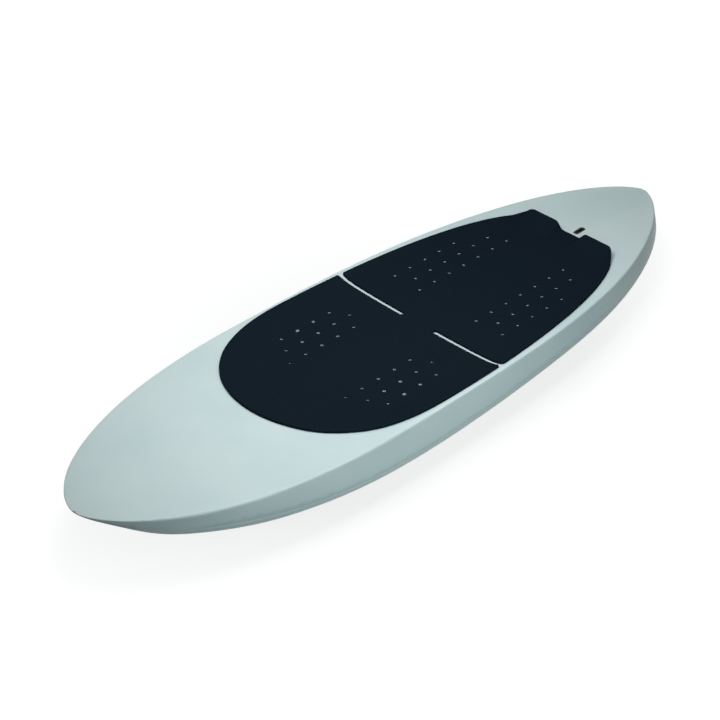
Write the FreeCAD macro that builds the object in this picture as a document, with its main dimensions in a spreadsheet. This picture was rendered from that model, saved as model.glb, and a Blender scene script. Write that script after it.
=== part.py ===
import FreeCAD, Part
import math
import os
import Sketcher
from FreeCAD import Placement, Rotation, Vector

# Wing foil board: a foam core in a sandwich skin, with a foam deck pad, two foil tracks,
# footstrap inserts, a leash plug, a carry handle and a vent.
# +X points to the nose, +Y to port and +Z up. The flat bottom lies on Z = 0, and the
# origin is under the middle of the board.

SIZES = (
    ("board_length", 1442, "nose to tail"),
    ("deck_half_width", 227.3, "centreline to the edge of the deck, at the widest"),
    ("rail_flare", 8.3, "how far the rail leans out below the deck edge"),
    ("board_depth", 100, "floor of the dished deck above the flat bottom"),
    ("nose_lift", 28.3, "tip of the nose above the floor of the deck"),
    ("deck_crown", 13, "crown of the deck ahead of the dish"),
    ("rail_depth", 68, "deck edge to the turn of the lower rail, at the deepest"),
    ("edge_round", 6, "softness of the deck edge amidships"),
    ("lower_rail_round", 25, "softness of the lower rail"),
    ("nose_rocker", 116, "rise of the bottom to the tip of the nose"),
    ("tail_rocker", 40, "rise of the bottom to the tip of the tail"),
    ("flat_sink", 2, "how far the bottom curve dips below the plane that cuts it flat"),
    ("skin_thickness", 4.5, "glass and foam sandwich skin"),
    ("glue_gap", 0.3, "bond line between pieces that are glued"),
    ("cut_overrun", 20, "how far a cutting shape runs past what it cuts"),
    ("pad_thickness", 5, "foam deck pad"),
    ("pad_half_width", 217, "deck pad at its widest"),
    ("pad_widest_x", 65, "where the deck pad is widest"),
    ("pad_nose_x", 342, "front of the deck pad"),
    ("pad_tail_x", -501, "rear edge of the deck pad"),
    ("pad_close_x", -530, "where the sides of the deck pad would meet behind that edge"),
    ("pad_tail_corner", 22, "corner radius of the rear edge"),
    ("pad_slot_x", -75.7, "place of the two cross slots"),
    ("pad_slot_width", 11, "width of a cross slot"),
    ("pad_bridge_half", 40, "centreline to the inner end of a cross slot"),
    ("pad_slot_corner", 8, "corner radius where a slot leaves the pad"),
    ("kick_height", 21.3, "crest of the tail kick above the floor of the deck"),
    ("kick_length", 62, "ramp of the tail kick"),
    ("kick_wedge_toe", 1, "thin front edge of the foam wedge under a kick"),
    ("kick_inner_foot", 19, "centreline to the inner foot of a kick"),
    ("kick_inner_crest", 37, "centreline to the inner end of its crest"),
    ("kick_outer_crest", 107, "centreline to the outer end of its crest"),
    ("kick_outer_foot", 119, "centreline to the outer foot of a kick"),
    ("insert_pitch", 40, "spacing of the footstrap inserts in a row"),
    ("insert_inner_y", 75, "inner row from the centreline"),
    ("insert_middle_y", 109, "middle row from the centreline"),
    ("insert_outer_y", 142, "outer row from the centreline"),
    ("front_inner_x", 177.8, "foremost insert of the front inner row"),
    ("front_middle_x", 155.8, "foremost insert of the front middle row"),
    ("front_outer_x", 137.8, "foremost insert of the front outer row"),
    ("rear_inner_x", -154.6, "foremost insert of the rear inner row"),
    ("rear_middle_x", -177, "foremost insert of the rear middle row"),
    ("rear_outer_x", -155, "foremost insert of the rear outer row"),
    ("front_inner_rise", 0.1, "deck above its floor at this row"),
    ("front_middle_rise", 0.2, "deck above its floor at this row"),
    ("front_outer_rise", 1.0, "deck above its floor at this row"),
    ("rear_inner_rise", 0.2, "deck above its floor at this row"),
    ("rear_middle_rise", 0.6, "deck above its floor at this row"),
    ("rear_outer_rise", 1.6, "deck above its floor at this row"),
    ("insert_diameter", 18, "body of a plastic insert plug"),
    ("insert_cover", 6.2, "top of a plug's body below the deck, under the skin"),
    ("insert_depth", 25, "plug body below the deck"),
    ("insert_neck_diameter", 7.2, "collar that fills the hole in the pad"),
    ("insert_neck_drop", 1.8, "top of the collar below the top of the pad"),
    ("insert_bore", 5, "tapping size of the M6 thread"),
    ("insert_bore_depth", 22, "depth of the thread"),
    ("insert_block_depth", 38, "hard foam block below the deck skin"),
    ("insert_block_margin", 14, "hard foam beyond the outermost insert axes"),
    ("insert_block_inner_y", 64, "centreline to the inner side of that block"),
    ("leash_x", -526, "middle of the leash plug"),
    ("leash_rise", 1.0, "deck above its floor at the leash plug"),
    ("leash_cup_length", 28, "outside of the leash cup, along the board"),
    ("leash_cup_width", 12.4, "outside of the leash cup, across the board"),
    ("leash_cup_depth", 21, "outside depth of the leash cup"),
    ("leash_cup_wall", 2, "wall of the leash cup"),
    ("leash_cup_end_round", 5, "corner radius of the leash cup"),
    ("leash_bar_diameter", 4.6, "steel bar across the leash cup"),
    ("leash_bar_drop", 6, "axis of the bar below the deck"),
    ("leash_block_margin", 14, "hard foam around the leash cup"),
    ("track_middle_x", -285, "middle of the foil tracks"),
    ("track_half_spacing", 45, "centreline to the middle of a foil track"),
    ("track_length", 350, "outside length of a foil track"),
    ("track_width", 26, "outside width of a foil track"),
    ("track_height", 24, "outside height of a foil track"),
    ("track_end_wall", 11, "closed end of a foil track"),
    ("track_mouth_width", 10, "open slot at the bottom face"),
    ("track_lip", 5, "thickness of the lips that hold the nuts"),
    ("track_groove_width", 17.6, "groove that the nut slides in"),
    ("track_groove_height", 6.6, "height of that groove"),
    ("track_relief_width", 11, "room for the end of the bolt"),
    ("track_relief_height", 8, "room above the nut"),
    ("track_window_length", 24.6, "opening where the nuts go in"),
    ("foil_block_margin", 15, "hard foam beyond the ends of the tracks"),
    ("foil_block_half_width", 62, "centreline to the side of the hard foam"),
    ("nut_length", 22, "track nut along the slot"),
    ("nut_width", 17.2, "track nut across the groove"),
    ("nut_flange_height", 6, "part of the nut inside the groove"),
    ("nut_neck_width", 9.4, "part of the nut inside the mouth"),
    ("nut_neck_height", 4.4, "length of that neck"),
    ("nut_clearance", 0.15, "nut above the lips"),
    ("nut_bore", 6.8, "tapping size of the M8 thread"),
    ("bolt_half_spacing", 82.5, "half of the bolt spacing along the board"),
    ("stringer_thickness", 8, "hard foam stringer"),
    ("stringer_y", 58, "centreline to the middle of a stringer"),
    ("stringer_nose_x", 520, "front end of the stringers"),
    ("handle_x", 20, "middle of the carry handle"),
    ("tray_length", 150, "outside of the handle tub"),
    ("tray_width", 86, "outside of the handle tub"),
    ("tray_depth", 42, "outside depth of the handle tub"),
    ("tray_wall", 2.5, "wall of the handle tub"),
    ("tray_corner", 20, "corner radius of the handle tub"),
    ("tray_flange", 8, "rim around the handle tub"),
    ("tray_flange_thickness", 2.5, "thickness of that rim"),
    ("tray_ledge_length", 15, "seat of the bar at each end of the tub"),
    ("handle_block_margin", 3, "hard foam beyond the rim of the tub"),
    ("handle_block_height", 52, "hard foam block around the tub"),
    ("bar_width", 24, "handle bar"),
    ("bar_height", 8, "handle bar"),
    ("bar_drop", 4, "outer face of the bar above the flat bottom"),
    ("bar_end_gap", 0.5, "handle bar to the end of the tub"),
    ("grip_length", 92, "rubber sleeve on the handle bar"),
    ("grip_wall", 2.5, "wall of that sleeve"),
    ("grip_round", 4, "corner radius of that sleeve"),
    ("screw_shank", 3.5, "shank of a handle screw"),
    ("screw_head", 7, "head of a handle screw"),
    ("screw_head_height", 1.8, "countersunk head"),
    ("screw_length", 18, "length of a handle screw"),
    ("screw_socket", 2.6, "socket in the head, across its corners"),
    ("screw_socket_depth", 1.2, "depth of that socket"),
    ("screw_clearance", 0.15, "air around a screw"),
    ("vent_x", 175, "middle of the vent"),
    ("vent_flange_diameter", 34, "rim of the vent"),
    ("vent_flange_thickness", 2.5, "rim of the vent"),
    ("vent_barrel_diameter", 25, "body of the vent inside the board"),
    ("vent_depth", 18, "depth of the vent"),
    ("vent_seat_diameter", 20, "recess for the cap"),
    ("vent_seat_depth", 7, "depth of that recess"),
    ("vent_bore", 12, "air way into the core"),
    ("membrane_diameter", 18.6, "disc that lets air out and keeps water in check"),
    ("membrane_thickness", 0.6, "thickness of that disc"),
    ("ring_section", 2.4, "thickness of the rubber ring"),
    ("ring_diameter", 14.4, "middle of the rubber ring"),
    ("vent_play", 0.1, "air between the pieces of the vent"),
    ("vent_cap_height", 3, "cap of the vent"),
    ("cap_slot_width", 1.8, "coin slot in the cap"),
    ("cap_slot_length", 12, "coin slot in the cap"),
    ("cap_slot_depth", 1.4, "coin slot in the cap"),
    ("cap_hole_diameter", 2, "air hole in the cap"),
    ("cap_hole_circle", 15, "circle of the air holes"),
)

# The hull is a loft through cross-sections at these shares of the length, counted from the nose.
STATION_SHARES = (
    0.0004, 0.006, 0.025, 0.06, 0.11, 0.18, 0.235, 0.27, 0.305, 0.34,
    0.38, 0.50, 0.62, 0.73, 0.82, 0.89, 0.94, 0.975, 0.994, 0.9996,
)
# Height of the deck edge above the floor of the deck, as shares of nose_lift.
EDGE_LIFT_SHARES = (
    1.0, 0.984, 0.934, 0.868, 0.794, 0.695, 0.640, 0.613, 0.593, 0.578,
    0.564, 0.531, 0.448, 0.350, 0.300, 0.325, 0.358, 0.391, 0.407, 0.407,
)
# Crown of the deck between its edges, as shares of deck_crown.
CROWN_SHARES = (0.1, 0.15, 0.25, 0.4, 0.6, 0.8, 0.95, 1, 1, 0.9, 0.45, 0, 0, 0, 0, 0, 0, 0, 0, 0)
# The dish that the pad lies in: how much of the way down to the floor its middle goes, and
# the share of the half width that it takes up.
DISH_DEPTH_SHARES = (0, 0, 0, 0, 0, 0, 0, 0.10, 0.42, 0.82, 0.98, 1, 1, 1, 1, 0.76, 0.45, 0.25, 0.1, 0.1)
DISH_WIDTH_SHARES = (
    0.40, 0.40, 0.40, 0.40, 0.40, 0.40, 0.40, 0.40, 0.54, 0.73,
    0.88, 1, 0.98, 0.95, 0.93, 0.93, 0.93, 0.93, 0.93, 0.93,
)
DISH_POWER = 7
# Depth of the rail below the deck edge, as shares of rail_depth.
RAIL_DEPTH_SHARES = (
    0.17, 0.17, 0.22, 0.40, 0.54, 0.72, 0.82, 0.88, 0.93, 0.97,
    1.0, 0.965, 0.83, 0.755, 0.71, 0.66, 0.63, 0.57, 0.50, 0.35,
)
# Softness of the deck edge, as shares of edge_round: the nose rolls over, the tail is crisp.
EDGE_ROUND_SHARES = (
    0.5, 0.8, 1.6, 2.4, 2.6, 2.0, 1.7, 1.5, 1.35, 1.2,
    1.1, 1.0, 1.0, 1.0, 1.0, 1.0, 1.0, 1.0, 0.8, 0.5,
)
# The foam core stops short of the thin nose and the tail: these stations carry it.
FIRST_CORE_STATION = 3
LAST_CORE_STATION = 17

# Plan outline of the deck: two power curves that meet at the widest place.
WIDEST_SHARE = 0.395
NOSE_POWER, NOSE_ROOT = 2.394, 1.704
TAIL_POWER, TAIL_ROOT = 2.944, 1.563
# The bottom is flat between these shares.
NOSE_ROCKER_SHARE, TAIL_ROCKER_SHARE = 0.36, 0.84
NOSE_ROCKER_POWER = 1.75
# The nose has hardly any flare up to this share of the length.
FULL_FLARE_SHARE = 0.12
# The bevel runs in by this share of its height, and the flat keeps at least this share of the width.
BEVEL_RUN_SHARE, LEAST_FLAT_SHARE = 1.6, 0.35
# Places of the section's poles between the middle of the deck and its edge.
DECK_PLACE_SHARES = (0.40, 0.70, 0.88)

# Deck pad outline: two power curves that meet at its widest place.
PAD_NOSE_POWER, PAD_NOSE_ROOT = 2.5, 2
PAD_TAIL_POWER, PAD_TAIL_ROOT = 2, 3.2
PAD_OUTLINE_STEPS = 14

FRONT_ROW_COUNTS = (5, 5, 4)
REAR_ROW_COUNTS = (7, 6, 5)

doc = FreeCAD.newDocument("wing_foil_board")
sizes = doc.addObject("Spreadsheet::Sheet", "sizes")
for row, (alias, value, note) in enumerate(SIZES, start=1):
    sizes.set(f"A{row}", alias)
    sizes.set(f"B{row}", str(value))
    sizes.set(f"C{row}", note)
    sizes.setAlias(f"B{row}", alias)
doc.recompute()

SUBPARTS = []


def size(alias):
    """A driving dimension, in millimetres."""
    return float(getattr(sizes, alias))


def cell(formula):
    """Puts the sheet's name before each alias of a formula, for setExpression."""
    words = []
    for word in formula.split():
        words.append(f"sizes.{word}" if word in ALIASES else word)
    return " ".join(words)


ALIASES = {alias for alias, value, note in SIZES}


def cell_value(formula):
    """The value of a sum of aliases."""
    return sum(size(word) for word in formula.split(" + ") if word in ALIASES)


def keep(item, label):
    """Names a sub-part after its node and puts it on the list to write."""
    item.Label = label
    SUBPARTS.append(item)
    return item


def place(item, x="0", y="0", z="0"):
    """Binds the place of an object to the sheet."""
    for axis, formula in (("x", x), ("y", y), ("z", z)):
        item.setExpression(f"Placement.Base.{axis}", cell(formula))


# Part primitives and booleans


def box(name, length, width, height, x="0", y="0", z="0"):
    """A block, centred on x and y and standing on z."""
    item = doc.addObject("Part::Box", name)
    item.setExpression("Length", cell(length))
    item.setExpression("Width", cell(width))
    item.setExpression("Height", cell(height))
    place(item, f"{x} - ( {length} ) / 2", f"{y} - ( {width} ) / 2", z)
    return item


def cylinder(name, diameter, height, x="0", y="0", z="0"):
    """A round bar that stands on z."""
    item = doc.addObject("Part::Cylinder", name)
    item.setExpression("Radius", cell(f"( {diameter} ) / 2"))
    item.setExpression("Height", cell(height))
    place(item, x, y, z)
    return item


def fuse(name, items):
    item = doc.addObject("Part::MultiFuse", name)
    item.Shapes = items
    return item


def cut(name, base, tool):
    item = doc.addObject("Part::Cut", name)
    item.Base = base
    item.Tool = tool
    return item


def common(name, items):
    item = doc.addObject("Part::MultiCommon", name)
    item.Shapes = items
    return item


def shape_of(name, shape):
    """A document object for a shape that no single feature makes."""
    item = doc.addObject("Part::Feature", name)
    item.Shape = shape
    return item


# Sketched bodies


def new_body(name):
    return doc.addObject("PartDesign::Body", name)


def sketch_on(body, name, role="XY_Plane", height=None):
    """A sketch on one of the body's own planes, moved along its normal."""
    item = body.newObject("Sketcher::SketchObject", name)
    origin_plane = [part for part in body.Origin.OriginFeatures if part.Role == role][0]
    item.AttachmentSupport = (origin_plane, [""])
    item.MapMode = "FlatFace"
    if height is not None:
        item.setExpression("AttachmentOffset.Base.z", cell(height))
    return item


def bind(sketch, constraint, formula):
    """Adds a dimension to a sketch and binds it to the sheet."""
    index = sketch.addConstraint(constraint)
    sketch.setExpression(f"Constraints[{index}]", cell(formula))


def draw_rectangle(sketch, length, width):
    """A rectangle about the sketch's origin."""
    first = sketch.GeometryCount
    corners = [Vector(-1, -1), Vector(1, -1), Vector(1, 1), Vector(-1, 1)]
    for step in range(4):
        sketch.addGeometry(Part.LineSegment(corners[step], corners[(step + 1) % 4]), False)
    for step in range(4):
        sketch.addConstraint(Sketcher.Constraint("Coincident", first + step, 2, first + (step + 1) % 4, 1))
    for step in (0, 2):
        sketch.addConstraint(Sketcher.Constraint("Horizontal", first + step))
        sketch.addConstraint(Sketcher.Constraint("Vertical", first + step + 1))
    sketch.addConstraint(Sketcher.Constraint("Symmetric", first, 1, first + 2, 1, -1, 1))
    bind(sketch, Sketcher.Constraint("DistanceX", first, 1, first, 2, 2), length)
    bind(sketch, Sketcher.Constraint("DistanceY", first + 1, 1, first + 1, 2, 2), width)


def draw_step(sketch, low, high, width):
    """A rectangle about the sketch's vertical axis, between two heights above its origin."""
    first = sketch.GeometryCount
    corners = [Vector(-1, 1), Vector(1, 1), Vector(1, 2), Vector(-1, 2)]
    for step in range(4):
        sketch.addGeometry(Part.LineSegment(corners[step], corners[(step + 1) % 4]), False)
    for step in range(4):
        sketch.addConstraint(Sketcher.Constraint("Coincident", first + step, 2, first + (step + 1) % 4, 1))
    sketch.addConstraint(Sketcher.Constraint("Vertical", first + 1))
    sketch.addConstraint(Sketcher.Constraint("Horizontal", first + 2))
    sketch.addConstraint(Sketcher.Constraint("Vertical", first + 3))
    sketch.addConstraint(Sketcher.Constraint("Symmetric", first, 1, first, 2, -2))
    bind(sketch, Sketcher.Constraint("DistanceX", first, 1, first, 2, 2), width)
    bind(sketch, Sketcher.Constraint("DistanceY", first + 1, 1, first + 1, 2, 1), f"{high} - ( {low} )")
    bind(sketch, Sketcher.Constraint("DistanceY", -1, 1, first, 1, 1), low)


def draw_circle(sketch, diameter):
    """A circle about the sketch's origin."""
    index = sketch.addGeometry(Part.Circle(Vector(0, 0), Vector(0, 0, 1), 1), False)
    sketch.addConstraint(Sketcher.Constraint("Coincident", index, 3, -1, 1))
    bind(sketch, Sketcher.Constraint("Diameter", index, 2), diameter)


def draw_corner_circles(sketch, diameter, half_length, half_width):
    """Four circles on the corners of a rectangle about the origin."""
    for side_x in (-1, 1):
        for side_y in (-1, 1):
            index = sketch.addGeometry(Part.Circle(Vector(side_x * 9, side_y * 9), Vector(0, 0, 1), 1), False)
            bind(sketch, Sketcher.Constraint("Diameter", index, 2), diameter)
            ways = (("DistanceX", side_x, half_length), ("DistanceY", side_y, half_width))
            for word, side, formula in ways:
                ends = (-1, 1, index, 3) if side > 0 else (index, 3, -1, 1)
                bind(sketch, Sketcher.Constraint(word, *ends, 9), formula)


def draw_end_circles(sketch, diameter, half_length):
    """Two circles on the sketch's horizontal axis, one each side of the origin."""
    for side in (-1, 1):
        index = sketch.addGeometry(Part.Circle(Vector(side * 9, 0), Vector(0, 0, 1), 1), False)
        bind(sketch, Sketcher.Constraint("Diameter", index, 2), diameter)
        sketch.addConstraint(Sketcher.Constraint("PointOnObject", index, 3, -1))
        ends = (-1, 1, index, 3) if side > 0 else (index, 3, -1, 1)
        bind(sketch, Sketcher.Constraint("DistanceX", *ends, 9), half_length)


def pad(body, sketch, name, length, reverse=False, both_ways=False):
    item = body.newObject("PartDesign::Pad", name)
    item.Profile = sketch
    item.setExpression("Length", cell(length))
    item.Reversed = reverse
    item.Midplane = both_ways
    doc.recompute()
    return item


def pocket(body, sketch, name, length, reverse=False, both_ways=False):
    """Cuts a sketch out of the body, and stops if nothing was cut."""
    before = body.Shape.Volume
    item = body.newObject("PartDesign::Pocket", name)
    item.Profile = sketch
    item.setExpression("Length", cell(length))
    item.Reversed = reverse
    item.Midplane = both_ways
    doc.recompute()
    if not body.Shape.Volume < before:
        raise RuntimeError(f"{name} cuts nothing")
    return item


def round_edges(body, feature, name, radius, wanted):
    """Fillets the edges of a feature that wanted(edge) picks."""
    names = [f"Edge{i}" for i, edge in enumerate(feature.Shape.Edges, start=1) if wanted(edge)]
    item = body.newObject("PartDesign::Fillet", name)
    item.Base = (feature, names)
    item.setExpression("Radius", cell(radius))
    doc.recompute()
    return item


def runs_along(edge, axis):
    """True for a straight edge along x, y or z."""
    ends = [corner.Point for corner in edge.Vertexes]
    return abs(getattr(ends[0] - ends[-1], axis)) > 0.999 * edge.Length


def is_upright(edge):
    return runs_along(edge, "z")


def is_corner_at(reach):
    """A test for the upright corner edges of a rectangle with that half length."""
    return lambda edge: is_upright(edge) and abs(abs(edge.CenterOfMass.x) - reach) < reach / 1000


# The hull


def outline_share(share):
    """Half width of the deck at a share of the length, as a share of deck_half_width."""
    if share < WIDEST_SHARE:
        way = 1 - share / WIDEST_SHARE
        return (1 - way**NOSE_POWER) ** (1 / NOSE_ROOT)
    way = (share - WIDEST_SHARE) / (1 - WIDEST_SHARE)
    return (1 - way**TAIL_POWER) ** (1 / TAIL_ROOT)


def edge_height(station):
    """Height of the deck edge."""
    return size("board_depth") + size("nose_lift") * EDGE_LIFT_SHARES[station]


def deck_height(station, place_share):
    """Height of the deck at a share of its half width: a crowned deck with a dish sunk into it."""
    crown = size("deck_crown") * CROWN_SHARES[station]
    rim = edge_height(station) + crown * (1 - place_share**2)
    across = min(1, place_share / DISH_WIDTH_SHARES[station])
    way_down = DISH_DEPTH_SHARES[station] * (1 - across**DISH_POWER)
    return rim - (rim - size("board_depth")) * way_down


def bottom_height(share):
    """Height of the bottom on the centreline, before the flat is cut."""
    height = -size("flat_sink")
    if share < NOSE_ROCKER_SHARE:
        height += size("nose_rocker") * (1 - share / NOSE_ROCKER_SHARE) ** NOSE_ROCKER_POWER
    if share > TAIL_ROCKER_SHARE:
        height += size("tail_rocker") * ((share - TAIL_ROCKER_SHARE) / (1 - TAIL_ROCKER_SHARE)) ** 2
    return height


def rail_flare_at(share):
    return size("rail_flare") * min(1, share / FULL_FLARE_SHARE)


def station_x(share):
    return size("board_length") * (0.5 - share)


def towards(start, end, distance):
    """The point at a distance from start on the way to end."""
    gap = math.hypot(end[0] - start[0], end[1] - start[1])
    return (start[0] + (end[0] - start[0]) * distance / gap, start[1] + (end[1] - start[1]) * distance / gap)


def lower_rail(station):
    """The corner pole of the lower rail, the bottom edge of the bevel and the length of the turn."""
    share = STATION_SHARES[station]
    edge = edge_height(station)
    turn = edge - size("rail_depth") * RAIL_DEPTH_SHARES[station]
    bottom = bottom_height(share)
    widest = size("deck_half_width") * outline_share(share) + rail_flare_at(share)
    leg = min(size("lower_rail_round"), 0.5 * (edge - turn), 0.8 * (turn - bottom))
    corner = (widest + 0.04 * leg, turn - 0.22 * leg)
    flat = max(LEAST_FLAT_SHARE * widest, widest - BEVEL_RUN_SHARE * (turn - bottom))
    return corner, (flat, bottom), leg


def section_poles(station, inset):
    """Poles of half a cross-section, from the middle of the deck to the edge of the flat bottom.

    inset draws the section in by that much, for the inside of the skin and for the core."""
    share = STATION_SHARES[station]
    half = size("deck_half_width") * outline_share(share)
    flare = rail_flare_at(share)
    edge = edge_height(station)
    depth = size("rail_depth") * RAIL_DEPTH_SHARES[station]
    softness = min(size("edge_round") * EDGE_ROUND_SHARES[station], 0.4 * depth, 0.35 * half)
    corner, flat, leg = lower_rail(station)
    bevel_length = math.hypot(corner[0] - flat[0], corner[1] - flat[1])
    # On the inside, walls move in and the two lower corners keep the skin's thickness.
    half -= inset
    edge -= inset
    bevel_slope = math.atan2(corner[1] - flat[1], corner[0] - flat[0])
    corner_rise = inset * (1 - math.sin(bevel_slope)) / math.cos(bevel_slope)
    flat_shift = inset * (1 - math.cos(bevel_slope)) / math.sin(bevel_slope)
    corner = (corner[0] - inset, corner[1] + corner_rise)
    flat = (flat[0] - flat_shift, flat[1] + inset)
    poles = [(0, deck_height(station, 0) - inset)]
    for place_share in DECK_PLACE_SHARES:
        poles.append((half * place_share, deck_height(station, place_share) - inset))
    under_edge = (half + 0.12 * flare, edge - softness)
    poles += [(half - softness, edge), (half, edge), under_edge]
    lower_leg = min(leg, 0.45 * bevel_length)
    poles += [towards(corner, under_edge, leg), corner, towards(corner, flat, lower_leg), flat]
    return poles


def section_wire(station, inset):
    """A closed cross-section: one smooth curve over the deck and rails, and the flat bottom."""
    x = station_x(STATION_SHARES[station])
    half = section_poles(station, inset)
    mirrored = [(-y, z) for y, z in reversed(half[1:])]
    poles = [Vector(x, y, z) for y, z in mirrored + half]
    spans = len(poles) - 3
    multiplicities = [4] + [1] * (spans - 1) + [4]
    over = Part.BSplineCurve()
    over.buildFromPolesMultsKnots(poles, multiplicities, list(range(spans + 1)), False, 3)
    return Part.Wire([over.toShape(), Part.makeLine(poles[-1], poles[0])])


def hull_form(name, inset, stations):
    """A solid lofted through cross-sections and cut flat at the bottom. inset is a formula."""
    depth = cell_value(inset)
    loft = doc.addObject("Part::Loft", f"{name}_loft")
    loft.Sections = [shape_of(f"{name}_section_{at:02d}", section_wire(at, depth)) for at in stations]
    loft.Solid = True
    loft.Ruled = False
    loft.MaxDegree = 5
    above = box(f"{name}_above_flat", "board_length * 2", "board_length", "board_depth * 2", z=inset)
    return common(name, [loft, above])


def above_seam(name):
    """A block over the seam of the two skins, which follows the lower rail from nose to tail."""
    seam = []
    for station, share in enumerate(STATION_SHARES):
        corner, flat, leg = lower_rail(station)
        seam.append(Vector(station_x(share), -size("board_length") / 2, corner[1] + 0.5 * leg))
    overrun = size("cut_overrun")
    seam.insert(0, seam[0] + Vector(overrun, 0, 0))
    seam.append(seam[-1] - Vector(overrun, 0, 0))
    line = Part.BSplineCurve()
    line.interpolate(seam)
    top = size("board_depth") + size("nose_lift") + overrun
    corners = [seam[-1], Vector(seam[-1].x, seam[-1].y, top), Vector(seam[0].x, seam[0].y, top), seam[0]]
    wire = Part.Wire([line.toShape(), Part.makePolygon(corners)])
    return shape_of(name, Part.Face(wire).extrude(Vector(0, size("board_length"), 0)))


every_station = range(len(STATION_SHARES))
core_stations = range(FIRST_CORE_STATION, LAST_CORE_STATION + 1)
outer_form = hull_form("outer_form", "0", every_station)
inner_form = hull_form("inner_form", "skin_thickness", core_stations)
core_form = hull_form("core_form", "skin_thickness + glue_gap", core_stations)
over_seam = above_seam("over_seam")


doc.recompute()

# Footstrap inserts


def row_places(end, side):
    """Places of one group of inserts: end is front or rear, side is 1 to port and -1 to starboard."""
    counts = FRONT_ROW_COUNTS if end == "front" else REAR_ROW_COUNTS
    places = []
    for row, count in zip(("inner", "middle", "outer"), counts):
        for step in range(count):
            x = size(f"{end}_{row}_x") - step * size("insert_pitch")
            deck = size("board_depth") + size(f"{end}_{row}_rise")
            places.append(Vector(x, side * size(f"insert_{row}_y"), deck))
    return places


GROUPS = [(end, word, side) for end in ("front", "rear") for word, side in (("left", 1), ("right", -1))]


def copies(item, places):
    """One compound of copies of an object's shape."""
    return Part.makeCompound([item.Shape.translated(spot) for spot in places])


def make_insert_plug():
    """The plug: a body in the hard foam, a collar up through skin and pad, and a blind thread."""
    body = new_body("insert_plug")
    neck = "glue_gap + pad_thickness - insert_neck_drop"
    stem = sketch_on(body, "plug_stem", height="0 - insert_cover")
    draw_circle(stem, "insert_diameter")
    pad(body, stem, "plug_body", "insert_depth - insert_cover", reverse=True)
    collar = sketch_on(body, "plug_collar_circle", height="0 - insert_cover")
    draw_circle(collar, "insert_neck_diameter")
    pad(body, collar, "plug_collar", f"insert_cover + {neck}")
    thread = sketch_on(body, "plug_thread_circle", height=neck)
    draw_circle(thread, "insert_bore")
    pocket(body, thread, "plug_thread", "insert_bore_depth")
    return body


insert_plug = make_insert_plug()
plug_well = cylinder(
    "plug_well", "insert_diameter + 2 * glue_gap", "insert_depth + glue_gap", z="0 - insert_depth - glue_gap"
)
collar_hole = cylinder(
    "collar_hole", "insert_neck_diameter + 2 * glue_gap", "cut_overrun * 2", z="0 - cut_overrun"
)
doc.recompute()

all_places = [spot for end, word, side in GROUPS for spot in row_places(end, side)]
plug_wells = shape_of("plug_wells", copies(plug_well, all_places))
collar_holes = shape_of("collar_holes", copies(collar_hole, all_places))
for end, word, side in GROUPS:
    plugs = shape_of(f"plugs_{end}_{word}", copies(insert_plug, row_places(end, side)))
    keep(plugs, f"insert_plugs_{end}_{word}")


def insert_block(name, end, side, gap):
    """The block of hard foam under one group of inserts, or with a gap the pocket for it."""
    places = row_places(end, side)
    longest = max(spot.x for spot in places) - min(spot.x for spot in places)
    middle = (max(spot.x for spot in places) + min(spot.x for spot in places)) / 2
    reach = size("insert_block_margin") + gap
    inner = size("insert_block_inner_y") - gap
    outer = size("insert_outer_y") + reach
    low = size("board_depth") - size("skin_thickness") - size("insert_block_depth") - gap
    block = Part.makeBox(longest + 2 * reach, outer - inner, size("board_depth") - low + size("cut_overrun"))
    block.translate(Vector(middle - longest / 2 - reach, inner if side > 0 else -outer, low))
    return shape_of(name, block)


block_pockets = []
for end, word, side in GROUPS:
    block = common(
        f"block_{end}_{word}", [core_form, insert_block(f"block_box_{end}_{word}", end, side, 0)]
    )
    keep(cut(f"bored_block_{end}_{word}", block, plug_wells), f"insert_block_{end}_{word}")
    block_pockets.append(insert_block(f"block_pocket_{end}_{word}", end, side, size("glue_gap")))

# Leash plug


def make_leash_cup():
    """A rounded tub, flush with the deck, with a cross hole for its bar."""
    body = new_body("leash_cup")
    outline = sketch_on(body, "cup_outline")
    draw_rectangle(outline, "leash_cup_length", "leash_cup_width")
    pad(body, outline, "cup_solid", "leash_cup_depth", reverse=True)
    inside = sketch_on(body, "cup_inside")
    draw_rectangle(inside, "leash_cup_length - 2 * leash_cup_wall", "leash_cup_width - 2 * leash_cup_wall")
    hollow = pocket(body, inside, "cup_hollow", "leash_cup_depth - leash_cup_wall")
    outer_half = size("leash_cup_length") / 2
    inner_half = outer_half - size("leash_cup_wall")
    hollow = round_edges(
        body, hollow, "cup_inner_corners", "leash_cup_end_round - leash_cup_wall", is_corner_at(inner_half)
    )
    round_edges(body, hollow, "cup_corners", "leash_cup_end_round", is_corner_at(outer_half))
    cross = sketch_on(body, "bar_hole_circle", "XZ_Plane")
    index = cross.addGeometry(Part.Circle(Vector(0, -3), Vector(0, 0, 1), 1), False)
    bind(cross, Sketcher.Constraint("Diameter", index, 2), "leash_bar_diameter")
    cross.addConstraint(Sketcher.Constraint("PointOnObject", index, 3, -2))
    bind(cross, Sketcher.Constraint("DistanceY", index, 3, -1, 1, 3), "leash_bar_drop")
    pocket(body, cross, "bar_hole", "leash_cup_width + cut_overrun", both_ways=True)
    place(body, "leash_x", "0", "board_depth + leash_rise")
    return body


def make_leash_bar():
    """The steel bar that the leash string goes round, pressed into the cup."""
    body = new_body("leash_bar")
    circle = sketch_on(body, "bar_circle", "XZ_Plane")
    draw_circle(circle, "leash_bar_diameter")
    pad(body, circle, "bar_length", "leash_cup_width", both_ways=True)
    place(body, "leash_x", "0", "board_depth + leash_rise - leash_bar_drop")
    return body


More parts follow.
